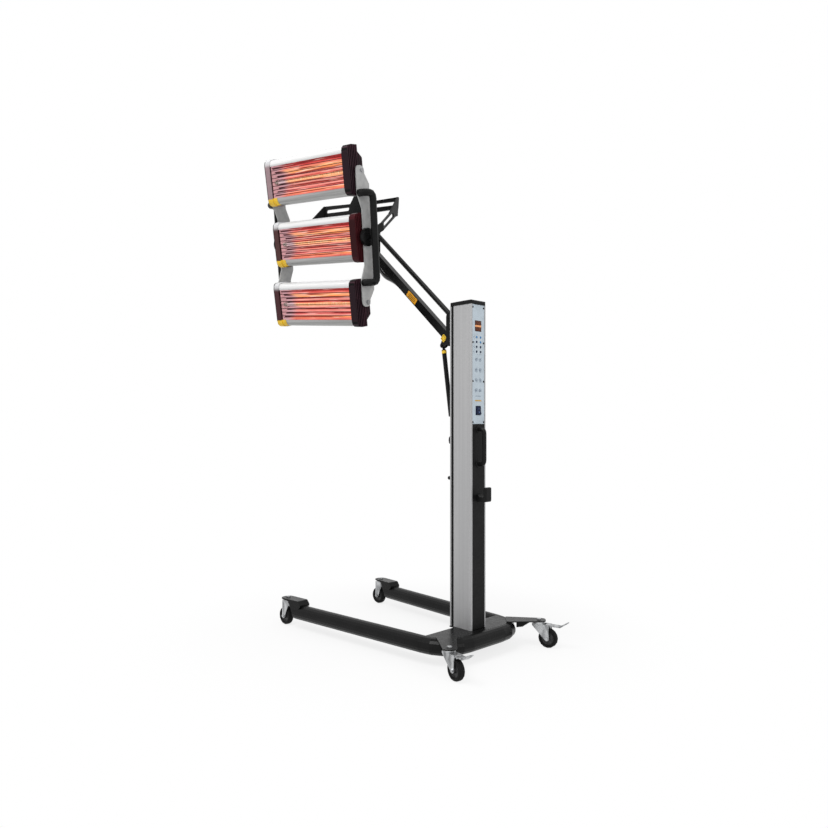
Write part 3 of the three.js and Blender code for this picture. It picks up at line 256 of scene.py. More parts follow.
# %% Plain coloured finishes
LOW_SHEEN = 0.13


def grey(value):
    return (value, value, value * 1.02)


def dimmed(colour):
    return tuple(0.7 * c for c in colour)


def painted(name, colour, roughness, grain, depth=0.0001, variation=0.18, sheen=LOW_SHEEN):
    """One colour whose tone, gloss and grain vary a little."""
    made = Finish(name, colour, roughness, sheen=sheen)
    darker = tuple(c * (1 - variation) for c in colour)
    lighter = tuple(c * (1 + variation) for c in colour)
    made.wander(darker, lighter, grain / 40)
    made.patina(roughness * 0.85, roughness * 1.15, grain / 12)
    made.bump(grain, depth)
    return made


print("a mid grey:", grey(0.5))

# %% [markdown]
# ### Black powder coat, mouldings and rubber
# The base, arm, strut, yoke and bows are steel with a satin powder coat, which has a very fine orange
# peel. Handle, hook and end cap are moulded. One black could do for all, but their gloss differs: the
# arm is smoother than the base, the cover under the panel is nearly matt, and the conduit shines.
# Black things stand before white paper here, so the others' sheen is kept low: with a common sheen
# they'd come out grey.

# %% Blacks
powder = painted("black_powder_coat", grey(0.0055), 0.3, 800, 0.00010)
satin = painted("black_arm_paint", grey(0.0055), 0.26, 900, 0.00008)
plastic = painted("black_moulding", grey(0.006), 0.36, 1500, 0.00006)
sheath = painted("conduit_sheath", grey(0.012), 0.22, 1500, 0.00006, sheen=0.5)
cover_paint = painted("cover_paint", grey(0.0065), 0.5, 1200, 0.00008)
rubber_trim = painted("groove_trim", grey(0.004), 0.6, 1800, 0.00005, sheen=0.12)
blacks = (powder, satin, plastic, sheath, cover_paint, rubber_trim)
print("blacks:", [finish.material.name for finish in blacks])

# %% [markdown]
# ### Wheels
# A caster's tyre is black rubber on a dark grey wheel centre. They could be two pieces. Both are one
# solid here, so the finish asks how far a point is from the axle: further out it is rubber, further in
# it is plastic.

# %% Wheels
CENTRE_END, TYRE_START = 0.0252, 0.0258  # metres from the axle


def wheel_finish(name, place):
    made = Finish(name, grey(0.01), 0.6, place=place, sheen=0.15)
    up, along = made.coordinate("Z"), made.coordinate("Y")
    squares = made.calculate("MULTIPLY_ADD", up, up, made.calculate("MULTIPLY", along, along))
    radius = made.calculate("SQRT", squares)
    tyre = made.step(radius, CENTRE_END, TYRE_START)
    centre_colour = made.wander(grey(0.03), grey(0.055), 90)
    tyre_colour = made.blend(made.noise(60), grey(0.003), grey(0.007))
    made.give("Base Color", made.blend(tyre, centre_colour, tyre_colour))
    made.give("Roughness", made.step(tyre, 0, 1, 0.42, 0.72))
    return made.bump(900, 0.0002, 0.5, 4)


wheels = {name: wheel_finish(name + "_wheel_finish", wheel_place[name]) for name in WHEELS}
print("wheel finishes:", len(wheels))

# %% [markdown]
# ### Aluminium and zinc
# The column is a satin anodised extrusion with faint drawn lines up its length. The shells of the
# cassettes are sheet, brushed along their own length and bright; the lower lip, which faces down, gets
# painted shade, and so do the upper lip's top edge and a band beside the opening. The side plates are
# matt. Forks and pedals are bright zinc, with painted reflections: bright and dark streaks up the metal.
# The drawn lines could be left to the reflections alone. In soft light these show little, so the lines
# are in the colour too: noise stretched along the metal.

# %% Column, side plates and zinc
column_metal = Finish("satin_anodised", (0.43, 0.43, 0.44), 0.5, 0.35, column_place, sheen=0.3)
column_metal.wander((0.385, 0.385, 0.39), (0.425, 0.425, 0.43), 120, (1, 1, 0.01))
column_metal.patina(0.45, 0.56, 200, (1, 1, 0.01)).bump(900, 0.00002, 0.35, 2, (1, 1, 0.004))
plate_metal = Finish("side_plate_metal", (0.42, 0.42, 0.42), 0.5, 0.3, head_place, sheen=0.3)
plate_metal.wander((0.39, 0.39, 0.39), (0.46, 0.46, 0.455), 60)
plate_metal.patina(0.44, 0.56, 90).bump(1000, 0.00003, 0.4, 2, (1, 1, 0.05))
zinc = Finish("bright_zinc", (0.4, 0.41, 0.42), 0.26, 0.8)
# Painted reflections: the zinc's colour swings between dark and bright in streaks up the metal.
zinc.wander((0.20, 0.205, 0.21), (0.56, 0.57, 0.58), 55, (1, 1, 0.35))
zinc.patina(0.22, 0.42, 130).bump(500, 0.00004, 0.4, 3)
print("metals:", [finish.material.name for finish in (column_metal, plate_metal, zinc)])

# %% Shells of the cassettes
# Heights on a lip, in metres from the cassette's middle: where the lower lip's painted shade gives way
# to the bright upper lip, the band of painted shade beside the opening, and the painted shade along
# the top edge.
LIP_CHANGE = 0.02
SHADE_START, SHADE_END = 0.0625, 0.0740
EDGE_START, EDGE_END = 0.080, 0.0885


def shell_finish(name, place):
    made = Finish(name, (0.5, 0.5, 0.5), 0.34, 0.25, place, sheen=0.25)
    height = made.coordinate("Z")
    brushed = made.step(made.noise(110, stretch=(1, 0.02, 1)), 0.35, 0.65)
    # The upper lip keeps the sheet's bright colour; the lower lip, which faces down, is a darker copy:
    # painted shade.
    bright = made.blend(brushed, (0.70, 0.70, 0.70), (0.80, 0.80, 0.795))
    shaded_lower_lip = made.blend(brushed, (0.30, 0.30, 0.295), (0.44, 0.44, 0.435))
    lips = made.blend(made.step(height, -LIP_CHANGE, LIP_CHANGE), shaded_lower_lip, bright)
    # Painted shade along the upper lip's top edge.
    edge = made.step(height, EDGE_START, EDGE_END, 1.0, 0.72)
    lips = made.blend(edge, grey(0.42), lips)
    # Painted shade on the upper lip beside the opening.
    beside_opening = made.step(height, SHADE_START, SHADE_END, 0.55, 0.0)
    on_top = made.step(height, 0.0, LIP_CHANGE)
    shaded = made.calculate("MULTIPLY", beside_opening, on_top)
    made.give("Base Color", made.blend(shaded, lips, grey(0.36)))
    return made.patina(0.3, 0.42, 200, (1, 0.02, 1)).bump(1100, 0.00002, 0.3, 2, (1, 0.01, 1))


shells = {name: shell_finish(name + "_shell_sheet", cassette_place[name]) for name in CASSETTES}
print("shell finishes:", len(shells))

# %% [markdown]
# ### The glowing mirror
# Inside a cassette, a gold-coated trough stands behind a quartz tube. What one sees is the hot tube
# and its images in the trough: three orange bands across a salmon glow, with thin dark red lines between
# them, and dark images of the grille's wires. At the far left the trough is turned away from the tube
# and shows pinkish grey daylight. A true mirror could show all this, but only if the trough were as
# finely made as the real one. So the finish draws it: it reads the height across the trough for the
# bands and the wires' images, and the length along it for the fade.

# %% Colours of the glow
SALMON, PINK, ORANGE, AMBER = (0.84, 0.19, 0.14), (1.0, 0.40, 0.34), (1.0, 0.34, 0.10), (1.0, 0.50, 0.22)
RED, DEEP, DAYLIGHT, MAUVE = (0.60, 0.05, 0.05), (0.16, 0.006, 0.01), (0.66, 0.46, 0.49), (0.40, 0.14, 0.17)
SHINE, WIRE_IMAGE_BLACK, DARK_RED = (1.0, 0.68, 0.60), (0.020, 0.004, 0.008), (0.20, 0.004, 0.006)
BANDS = (
    (0.03, DEEP), (0.08, SALMON), (0.15, ORANGE), (0.20, PINK), (0.25, RED), (0.30, PINK),
    (0.37, SALMON), (0.41, DEEP), (0.45, PINK), (0.51, AMBER), (0.57, ORANGE), (0.61, RED),
    (0.66, SALMON), (0.71, PINK), (0.75, DEEP), (0.80, ORANGE), (0.86, AMBER), (0.92, SALMON),
    (0.96, RED), (1.0, DEEP),
)
print("bands across the trough:", len(BANDS))

# %% Glowing mirror
# In metres: half the opening, where the daylight gives way to the glow, and the wires' images.
OPENING_HALF = 0.062
DAYLIGHT_END, GLOW_START = -0.135, -0.075
WIRE_PITCH, WIRE_IMAGE_SHIFT = 0.015, 0.006
THIN_IMAGE, BOLD_IMAGE = (0.0014, 0.0028), (0.0026, 0.0038)


def glow_finish(name, place):
    made = Finish(name, (0.05, 0.02, 0.02), 0.3, 0.2, place, sheen=0.15)
    height = made.step(made.coordinate("Z"), -OPENING_HALF, OPENING_HALF, curve="LINEAR")
    wobble = made.calculate("MULTIPLY_ADD", made.noise(26, 4, (1, 0.22, 1)), 0.11, height)
    bands = made.ramp(wobble, BANDS)
    streaks = made.step(made.noise(150, 4, (1, 0.05, 1)), 0.35, 0.7)
    hot = made.blend(made.calculate("MULTIPLY", streaks, 0.4), bands, RED)
    shine = made.step(made.noise(190, 3, (1, 0.04, 1)), 0.56, 0.68)
    hot = made.blend(made.calculate("MULTIPLY", shine, 0.7), hot, SHINE)
    cool = made.blend(made.noise(110, 3, (1, 0.15, 1)), MAUVE, DAYLIGHT)
    ragged = made.calculate("MULTIPLY_ADD", made.noise(45, 3, (1, 0.1, 1)), 0.09, made.coordinate("Y"))
    far = made.step(ragged, DAYLIGHT_END, GLOW_START)
    glow = made.blend(far, cool, hot)
    shifted = made.calculate("ADD", made.coordinate("Z"), WIRE_IMAGE_SHIFT)
    to_image = made.calculate("PINGPONG", shifted, WIRE_PITCH / 2)
    thin = made.step(to_image, *THIN_IMAGE, 1.0, 0.0)
    bold = made.step(to_image, *BOLD_IMAGE, 1.0, 0.0)
    broken = made.step(made.noise(34, 2, (1, 0.12, 1)), 0.36, 0.50)
    strength = made.blend(far, bold, made.calculate("MULTIPLY", broken, thin))
    # The wires' dark images are painted: near black in the daylight part, dark red in the glow.
    dark = made.blend(far, WIRE_IMAGE_BLACK, DARK_RED)
    glow = made.blend(strength, glow, dark)
    made.give("Emission Color", glow)
    flicker = made.step(made.noise(70, 3, (1, 0.1, 1)), 0.2, 0.8, 0.92, 1.24)
    made.give("Emission Strength", flicker)
    made.wander((0.05, 0.02, 0.02), (0.08, 0.04, 0.035), 80)
    return made.patina(0.25, 0.4, 100).bump(120, 0.0002, 0.3, 2, (1, 0.1, 1))


mirrors = {name: glow_finish(name + "_glowing_mirror", cassette_place[name]) for name in CASSETTES}
print("mirrors:", len(mirrors))

# %% [markdown]
# ### Quartz tube, grille wires and end caps
# The tube glows orange between two ceramic ends; towards its far left its glow turns to painted
# daylight. The grille's wires stand before the glow and look almost black. The end caps are dark plum
# and maroon mouldings, with painted shade on their front faces and in the grooves of the ribbed ones.
# Each left one has painted light: a lit front, a painted highlight on its upper corner and a pale inner
# wall that glows a little. The bolt heads outside the side plates are zinc.
# Tube and ceramic, cap and bolt could be pieces of their own. Each pair is one solid here, so a finish
# changes by the distance from the cassette's middle, where one material ends and the next starts.

# %% Quartz tube
# In metres along the tube: where the glass ends and the ceramic starts, and where the painted daylight at
# the far left gives way to the glow.
GLASS_END, CERAMIC_START = 0.1825, 0.1835
TUBE_DAYLIGHT_END, TUBE_GLOW_START = -0.155, -0.115


def tube_finish(name, place):
    made = Finish(name, (0.02, 0.01, 0.01), 0.2, place=place, sheen=0.3)
    from_middle = made.calculate("ABSOLUTE", made.coordinate("Y"))
    ceramic = made.step(from_middle, GLASS_END, CERAMIC_START)
    coil = made.step(made.noise(420, 1, (0.02, 1, 0.02)), 0.35, 0.65)
    heat_and_painted_daylight = made.blend(coil, (1.0, 0.36, 0.13), (1.0, 0.62, 0.36))
    # Painted light: towards the far left the glow turns to the pinkish grey of daylight.
    far = made.step(made.coordinate("Y"), TUBE_DAYLIGHT_END, TUBE_GLOW_START)
    heat_and_painted_daylight = made.blend(far, DAYLIGHT, heat_and_painted_daylight)
    made.give("Emission Color", heat_and_painted_daylight)
    made.give("Emission Strength", made.step(ceramic, 0, 1, 1.0, 0.0))
    white = made.blend(made.noise(160), (0.5, 0.44, 0.4), (0.62, 0.56, 0.5))
    made.give("Base Color", made.blend(ceramic, (0.03, 0.01, 0.008), white))
    made.give("Roughness", made.step(ceramic, 0, 1, 0.15, 0.6))
    return made.bump(500, 0.00008, 0.4)


tubes = {name: tube_finish(name + "_quartz", cassette_place[name]) for name in CASSETTES}
print("tubes:", len(tubes))

# %% End caps
# In metres, in the cassette's directions: the ribs on a cap's side, with painted shade in their grooves,
# its front face, which has painted shade, the places along it where a left one's painted light ends and
# the bolt starts, its upper corner with a painted highlight, and the inner wall of a left one, which has
# painted light.
RIBS_START, HALF_RIB = 0.034, 0.00475
GROOVE = (0.0018, 0.0028)
FRONT_FACE = (0.0615, 0.0625)
LIT_END, BOLT = (0.2275, 0.2290), (0.2412, 0.2414)
UPPER_CORNER = (0.055, 0.078)
WALL_ALONG, WALL_ACROSS, WALL_FORWARD = (0.2032, 0.2036), (0.0660, 0.0670), (0.0575, 0.0585)


def cap_finish(name, place, dark, light, ribbed=False, tone=None):
    """A dark moulding, with painted shade on its front face and in its grooves when ribbed; a left one also
    gets painted light in front.
    """
    made = Finish(name, dark, 0.4, place=place, sheen=0.08)
    from_middle = made.calculate("ABSOLUTE", made.coordinate("Y"))
    across = made.calculate("ABSOLUTE", made.coordinate("Z"))
    forward = made.coordinate("X")
    colour = made.blend(made.step(made.noise(16), 0.3, 0.7), dark, light)
    # Painted shade: the grooves between the ribs are darkened.
    if ribbed:
        rib = made.calculate("PINGPONG", made.calculate("SUBTRACT", forward, RIBS_START), HALF_RIB)
        colour = made.blend(made.step(rib, *GROOVE), grey(0.002), colour)
    # Painted shade: the front face of every cap is darker.
    colour = made.blend(made.step(forward, *FRONT_FACE), colour, dimmed(dark))
    if tone:
        # A left cap's front gets painted light in its own colour, with a painted highlight on the upper
        # corner.
        lit = made.blend(made.noise(45), dimmed(tone), tone)
        bright = made.blend(made.step(made.coordinate("Z"), *UPPER_CORNER), lit, grey(0.6))
        colour = made.blend(made.step(from_middle, *LIT_END), bright, colour)
        # Its inner wall, which faces the glowing trough, is painted pale and glows a little: painted light.
        near_end = made.step(from_middle, *WALL_ALONG, 1.0, 0.0)
        in_opening = made.step(across, *WALL_ACROSS, 1.0, 0.0)
        behind_front = made.step(forward, *WALL_FORWARD, 1.0, 0.0)
        inside = made.calculate("MULTIPLY", near_end, in_opening)
        inside = made.calculate("MULTIPLY", inside, behind_front)
        colour = made.blend(inside, colour, (0.60, 0.36, 0.38))
        made.give("Emission Color", (0.72, 0.42, 0.44))
        made.give("Emission Strength", made.calculate("MULTIPLY", inside, 0.35))
    bolt = made.step(from_middle, *BOLT)
    metal = made.blend(made.noise(90), (0.26, 0.26, 0.27), (0.4, 0.4, 0.41))
    made.give("Base Color", made.blend(bolt, colour, metal))
    made.give("Metallic", made.calculate("MULTIPLY", bolt, 0.7))
    made.give("Roughness", made.step(made.noise(60), 0.3, 0.7, 0.34, 0.48))
    return made.bump(1300, 0.00005, 0.4)


PLUM, WINE = (0.024, 0.011, 0.016), (0.052, 0.020, 0.029)
MAROON, CLARET = (0.036, 0.006, 0.008), (0.062, 0.009, 0.012)
# Painted light on each left cap's front, brightest on the upper cassette.
PAINTED_LIGHT_ON_LEFT_CAPS = {"upper": (0.36, 0.25, 0.27), "middle": (0.09, 0.04, 0.04), "lower": (0.075, 0.028, 0.032)}
right_caps, left_caps = {}, {}
for name, tone in PAINTED_LIGHT_ON_LEFT_CAPS.items():
    tints = (MAROON, CLARET) if name == "middle" else (PLUM, WINE)
    place = cassette_place[name]
    right_caps[name] = cap_finish(name + "_right_cap_finish", place, *tints, ribbed=name != "middle")
    left_caps[name] = cap_finish(name + "_left_cap_finish", place, grey(0.006), grey(0.012), tone=tone)
print("cap finishes:", len(right_caps) + len(left_caps))

# %% Wires and rear housings
wire = painted("grille_wire", (0.010, 0.002, 0.003), 0.5, 900, 0.00004, 0.4, sheen=0.12)
housing = painted("rear_housing_paint", grey(0.010), 0.5, 1100, 0.0001)
print("wire and housing finishes ready")

# %% [markdown]
# ### Panel, labels and small parts
# The control panel is a pale blue-grey printed sheet with three blue and five dark keys. Its display has
# two dark brown digit windows with an orange band between them. The labels are yellow and orange, with
# plain dark bars. The whole print could be drawn inside one finish, and then its edges would have no
# height. It is made of thin pieces instead, so each ink and each plastic has a finish of its own.

# %% Panel and label finishes
def ink(name, colour, roughness, variation, sheen=0.2):
    """A thin print or pane, with hardly any grain."""
    return painted(name, colour, roughness, 900, 0.00002, variation, sheen)


panel_face = painted("panel_overlay", (0.50, 0.575, 0.635), 0.5, 1500, 0.00002, 0.04, 0.25)
keypad_film = painted("keypad_film", (0.53, 0.595, 0.645), 0.4, 1400, 0.00002, 0.05, 0.25)
display_back = ink("display_filter", (0.07, 0.018, 0.008), 0.3, 0.2, LOW_SHEEN)
digit_glass = ink("digit_window", (0.055, 0.014, 0.006), 0.25, 0.2, LOW_SHEEN)
lit_segment = ink("digit_segment", (0.16, 0.045, 0.015), 0.4, 0.1, 0.5)
lit_segment.give("Emission Color", (0.5, 0.1, 0.03))
lit_segment.give("Emission Strength", 0.2)
orange_band = ink("orange_band", (0.86, 0.38, 0.16), 0.4, 0.08)
mustard = ink("mustard_print", (0.58, 0.36, 0.09), 0.45, 0.1)
print_grey = ink("panel_print", (0.08, 0.11, 0.17), 0.5, 0.1)
label_print = ink("label_print", (0.07, 0.035, 0.012), 0.5, 0.15, LOW_SHEEN)
key_blue = painted("key_blue", (0.055, 0.20, 0.42), 0.35, 900, 0.00003, 0.12, sheen=0.2)
key_dark = painted("key_dark", (0.008, 0.016, 0.045), 0.4, 900, 0.00003, 0.15)
switch_blue = painted("rocker_plastic", (0.005, 0.010, 0.040), 0.3, 1600, 0.00002, 0.2)
switch_mark = ink("rocker_mark", (0.10, 0.17, 0.36), 0.35, 0.1, 0.5)
yellow = painted("yellow_label", (0.78, 0.50, 0.035), 0.42, 900, 0.00003, 0.12, 0.3)
orange = painted("orange_label", (0.80, 0.36, 0.02), 0.42, 900, 0.00003, 0.12, 0.3)
black_screw = painted("blackened_screw", grey(0.006), 0.4, 900, 0.00004)
print("small finishes ready")

# %% [markdown]
# ## Smooth or sharp
# Real tubes are round and real plates have crisp edges, while the solids are made of flat faces. They
# could all be shaded smooth, or all flat, and either would be wrong somewhere. A small modifier looks at
# the angle of every edge: it shades the shallow ones smooth, so that tubes look round, and keeps true
# corners crisp. It leaves every vertex where it is.

# %% Smoothing modifier
def make_smoother(angle):
    tree = bpy.data.node_groups.new("smooth_shallow_angles", "GeometryNodeTree")
    tree.interface.new_socket("Geometry", in_out="INPUT", socket_type="NodeSocketGeometry")
    tree.interface.new_socket("Geometry", in_out="OUTPUT", socket_type="NodeSocketGeometry")
    entry, leave = tree.nodes.new("NodeGroupInput"), tree.nodes.new("NodeGroupOutput")
    faces = tree.nodes.new("GeometryNodeSetShadeSmooth")
    edges = tree.nodes.new("GeometryNodeSetShadeSmooth")
    edges.domain = "EDGE"
    corner = tree.nodes.new("GeometryNodeInputMeshEdgeAngle")
    shallow = tree.nodes.new("FunctionNodeCompare")
    shallow.operation = "LESS_THAN"
    shallow.inputs[1].default_value = angle
    tree.links.new(corner.outputs["Unsigned Angle"], shallow.inputs[0])
    tree.links.new(entry.outputs[0], faces.inputs["Geometry"])
    tree.links.new(faces.outputs[0], edges.inputs["Geometry"])
    tree.links.new(shallow.outputs["Result"], edges.inputs["Shade Smooth"])
    tree.links.new(edges.outputs[0], leave.inputs[0])
    return tree


SHALLOW = 32  # degrees
smoother = make_smoother(math.radians(SHALLOW))
print("edges under", SHALLOW, "degrees look smooth")

# %% [markdown]
# ## Dress the solids
# On the real lamp the maker's list of parts says what is painted, plated or moulded. The solids could be
# given their finishes one by one, sixty times. Their names are such a list, so it is done by name: some
# stand alone, others share an ending, and what is left is powder coated.

# %% Finishes by name
SINGLE_FINISHES = {
    "column": column_metal, "top_cap": plastic,
    "control_panel": panel_face, "membrane_keypad": keypad_film, "display_window": display_back,
    "power_switch": switch_blue, "rear_cover": cover_paint, "rear_handle": plastic,
    "cable_hook": plastic, "front_clip": plastic,
    "main_arm": satin, "arm_conduit": sheath, "link_rod": satin,
    "strut_cylinder": satin, "strut_rod": satin,
    "side_plate_right": plate_metal, "side_plate_left": plate_metal,
    "bow_right": satin, "bow_left": satin,
}
SHARED_ENDINGS = {"_fork": zinc, "_brake_pedal": zinc, "_grille": wire, "_rear_housing": housing}
OWN_ENDINGS = {
    "_wheel": wheels, "_shell": shells, "_reflector": mirrors, "_quartz_lamp": tubes,
    "_cap_right": right_caps, "_cap_left": left_caps,
}


def finish_for(node):
    if node in SINGLE_FINISHES:
        return SINGLE_FINISHES[node]
    for ending, finish in SHARED_ENDINGS.items():
        if node.endswith(ending):
            return finish
    for ending, finishes in OWN_ENDINGS.items():
        if node.endswith(ending):
            return finishes[node.removesuffix(ending)]
    return powder


for node, solid in nodes.items():
    solid.data.materials.clear()
    solid.data.materials.append(finish_for(node).material)
    solid.modifiers.new("smooth", "NODES").node_group = smoother
print("dressed", len(nodes), "solids")

# %% [markdown]
# ## How small pieces are made
# Small parts of such a lamp are cut from sheet, bent or turned on a lathe. They could start as Blender's
# ready shapes and be scaled and cut until they fit. Here they are made as in the workshop: a slab is an
# outline pushed up to a thickness with softened edges, a ring is skinned over its outlines, and a turned
# part is a profile spun round its axis. Each is added to a mesh in millimetres, in the directions of the
# group that carries it, and then the whole mesh is laid in the model.

# %% Slabs
UPRIGHT = Matrix.Identity(4)
FACING_BACK = turned_by(-90, "X")  # a slab's thickness runs along +Y, its outline lies in X and -Z
FACING_RIGHT = turned_by(90, "Y")  # a slab's thickness runs along +X


def at(x, y, z):
    return Matrix.Translation((x, y, z))


def add_slab(mesh, outline, low, high, bevel=0.0, place=UPRIGHT):
    """The outline between two heights; the bevel softens the edges of its top."""
    bottom = [mesh.verts.new(place @ Vector((x, y, low))) for x, y in outline]
    top = [mesh.verts.new(place @ Vector((x, y, high))) for x, y in outline]
    faces = [mesh.faces.new(bottom[::-1]), mesh.faces.new(top)]
    for i in range(len(outline)):
        faces.append(mesh.faces.new((bottom[i - 1], bottom[i], top[i], top[i - 1])))
    if bevel:
        edges = list(faces[1].edges)
        bmesh.ops.bevel(mesh, geom=edges, offset=bevel, segments=2, profile=0.6, affect="EDGES")


def rounded(width, height, radius, centre=(0, 0), steps=4):
    """An outline of a rounded rectangle."""
    points = []
    for quarter, (sx, sy) in enumerate(((1, 1), (-1, 1), (-1, -1), (1, -1))):
        middle = (centre[0] + sx * (width / 2 - radius), centre[1] + sy * (height / 2 - radius))
        for i in range(steps + 1):
            angle = math.pi / 2 * (quarter + i / steps)
            points.append((middle[0] + radius * math.cos(angle), middle[1] + radius * math.sin(angle)))
    return points


print("slabs ready, corners of a plain label:", len(rounded(24, 67, 2.5)))


# %% Rings and turned parts
def add_loops(mesh, loops, place=UPRIGHT, ends=True):
    """Skins outlines at their heights, one after the other. Without end faces they close into a ring."""
    rings = [[mesh.verts.new(place @ Vector((x, y, z))) for x, y in outline] for outline, z in loops]
    following = rings[1:] if ends else rings[1:] + rings[:1]
    for lower, upper in zip(rings, following):
        for i in range(len(lower)):
            mesh.faces.new((lower[i - 1], lower[i], upper[i], upper[i - 1]))
    if ends:
        mesh.faces.new(rings[0][::-1])
        mesh.faces.new(rings[-1])


def add_turned(mesh, profile, sides, place=UPRIGHT):
    """The profile lists (radius, height) from one end to the other; a radius may be a rule of the angle."""
    loops = []
    for radius, height in profile:
        angles = [2 * math.pi * i / sides for i in range(sides)]
        radii = [radius(a) if callable(radius) else radius for a in angles]
        loops.append(([(r * math.cos(a), r * math.sin(a)) for r, a in zip(radii, angles)], height))
    add_loops(mesh, loops, place)


def cross(size):
    """A rule for the radius that makes a cross, for a screw's recess."""
    return lambda angle: size if math.cos(4 * angle) > 0.5 else size * 0.4


print("rings and turned parts ready")


# %% Laying a piece in the model
def add_piece(name, mesh, finish, body, place):
    """Lays a mesh, drawn in millimetres, in a group's directions and lets it ride on a body."""
    bmesh.ops.recalc_face_normals(mesh, faces=mesh.faces[:])
    mesh.transform(place @ Matrix.Scale(MM, 4))
    data = bpy.data.meshes.new(name)
    mesh.to_mesh(data)
    mesh.free()
    data.materials.append(finish.material)
    piece = bpy.data.objects.new(name, data)
    scene.collection.objects.link(piece)
    piece.modifiers.new("smooth", "NODES").node_group = smoother
    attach(piece, body)


# %% [markdown]
# ## Trim in the column's grooves
# A black rubber strip is pressed into the groove on each side of the column, near its front, and gives
# the pale column its dark line. The groove could just be coloured black. A strip with a crowned face
# catches the light as rubber does, so it is a slab: its section, pushed up the length of the column.

# %% Groove trim
GROOVE_MIDDLE, TRIM_HALF, TRIM_CROWN = -39.5, 5.7, 4
GROOVE_FLOOR, COLUMN_HALF = 37.5, 41.5
COLUMN_FOOT, COLUMN_TOP = 97.3, 1307
HALF_SECTION = [
    (GROOVE_FLOOR + 0.2, -TRIM_HALF), (COLUMN_HALF - 0.9, -TRIM_HALF), (COLUMN_HALF - 0.3, -TRIM_CROWN),
]
for side, name in ((1, "right"), (-1, "left")):
    strip = bmesh.new()
    other_half = [(x, -y) for x, y in reversed(HALF_SECTION)]
    whole = [*HALF_SECTION, (COLUMN_HALF - 0.1, 0), *other_half]
    section = [(side * x, GROOVE_MIDDLE + y) for x, y in whole]
    add_slab(strip, section, COLUMN_FOOT + 0.5, COLUMN_TOP - 0.5)
    add_piece("groove_trim_" + name, strip, rubber_trim, "stand", column_place)
print("trim strips: 2, length", COLUMN_TOP - COLUMN_FOOT - 1, "mm")

# %% [markdown]
# ## Screws and display on the panel
# The panel's sheet lies in the recess of the column's back, and small black screws hold it in pairs. The
# display shows two rows of faint seven-bar digits with an orange band between them. All this could be a
# picture on a flat sheet. As thin pieces the windows, bars and screws keep sharp edges from near, and
# each screw has its cross.

# %% Panel screws
PANEL_FACE, GLASS_FACE, KEY_FACE = 52.8, 52.2, 55.1
SCREW_HEIGHTS, SCREW_SIDE = (1296, 1165, 1021, 869), 30.5
screws = bmesh.new()
for height in SCREW_HEIGHTS:
    for x in (-SCREW_SIDE, SCREW_SIDE):
        head = [(3.6, 0.05), (3.6, 0.8), (2.9, 1.7), (cross(1.9), 1.9), (cross(1.5), 0.9)]
        add_turned(screws, head, 16, at(x, PANEL_FACE, height) @ FACING_BACK)
add_piece("panel_screws", screws, black_screw, "stand", column_place)
print("panel screws:", 2 * len(SCREW_HEIGHTS))

# %% Display
DISPLAY_MIDDLE, WINDOW_RISE = 1227, 11.2
DIGIT_PITCH, DIGIT_HALF_WIDTH, DIGIT_HALF_HEIGHT = 9.4, 2.5, 4.9
# Each bar of a digit: its place across and up in half digits, its width and its height.
BARS = [(0, up, 3.6, 0.9) for up in (1, 0, -1)]
BARS += [(across, up, 0.9, 4.0) for up in (0.5, -0.5) for across in (-1, 1)]
for name, middle in (("upper", DISPLAY_MIDDLE + WINDOW_RISE), ("lower", DISPLAY_MIDDLE - WINDOW_RISE)):
    place = at(0, GLASS_FACE, middle) @ FACING_BACK
    window = bmesh.new()
    add_slab(window, rounded(34, 14.6, 1.2), 0.05, 0.75, 0.3, place)
    add_piece("digit_window_" + name, window, digit_glass, "stand", column_place)
    digits = bmesh.new()
    for digit in (-1, 0, 1):
        for across, up, width, height in BARS:
            centre = (digit * DIGIT_PITCH + across * DIGIT_HALF_WIDTH, up * DIGIT_HALF_HEIGHT)
            add_slab(digits, rounded(width, height, 0.4, centre, 2), 0.76, 0.9, 0, place)
    add_piece("digit_bars_" + name, digits, lit_segment, "stand", column_place)
band = bmesh.new()
add_slab(band, rounded(34, 7, 1), 0.05, 0.8, 0.3, at(0, GLASS_FACE, DISPLAY_MIDDLE) @ FACING_BACK)
add_piece("display_band", band, orange_band, "stand", column_place)

# %% [markdown]
# ## Keys and marks
# Under a keypad's film lies a low metal dome for each key, which gives it its click. Three of the keys
# are blue and five are dark, in two rows up the panel, with a tiny lamp beside each pair. The marks below
# them are printed rings and bars. A bump in the film's finish could suggest the domes, and it would be
# flat from the side, so each dome is turned, a millimetre high, and each stroke of ink is a thin slab.

# %% Keys
FIRST_KEY, KEY_PITCH, KEY_SIDE, KEY_LAMP_SIDE = 1185, 18, 11, 25.5
for name, finish, chosen in (("light", key_blue, (0, 1, 3)), ("dark", key_dark, (2, 4, 5, 6, 7))):
    domes = bmesh.new()
    for key in chosen:
        x, height = (-KEY_SIDE if key % 2 else KEY_SIDE), FIRST_KEY - KEY_PITCH * (key // 2)
        place = at(x, KEY_FACE, height) @ FACING_BACK
        add_turned(domes, [(4.6, 0.02), (4.5, 0.35), (3.4, 0.75), (1.6, 0.95)], 16, place)
    add_piece("key_domes_" + name, domes, finish, "stand", column_place)
leds = bmesh.new()
for row in range(4):
    place = at(KEY_LAMP_SIDE, PANEL_FACE, FIRST_KEY - KEY_PITCH * row) @ FACING_BACK
    add_turned(leds, [(1.3, 0.02), (1.2, 0.5), (0.6, 0.8)], 10, place)
add_piece("key_lamps", leds, key_dark, "stand", column_place)

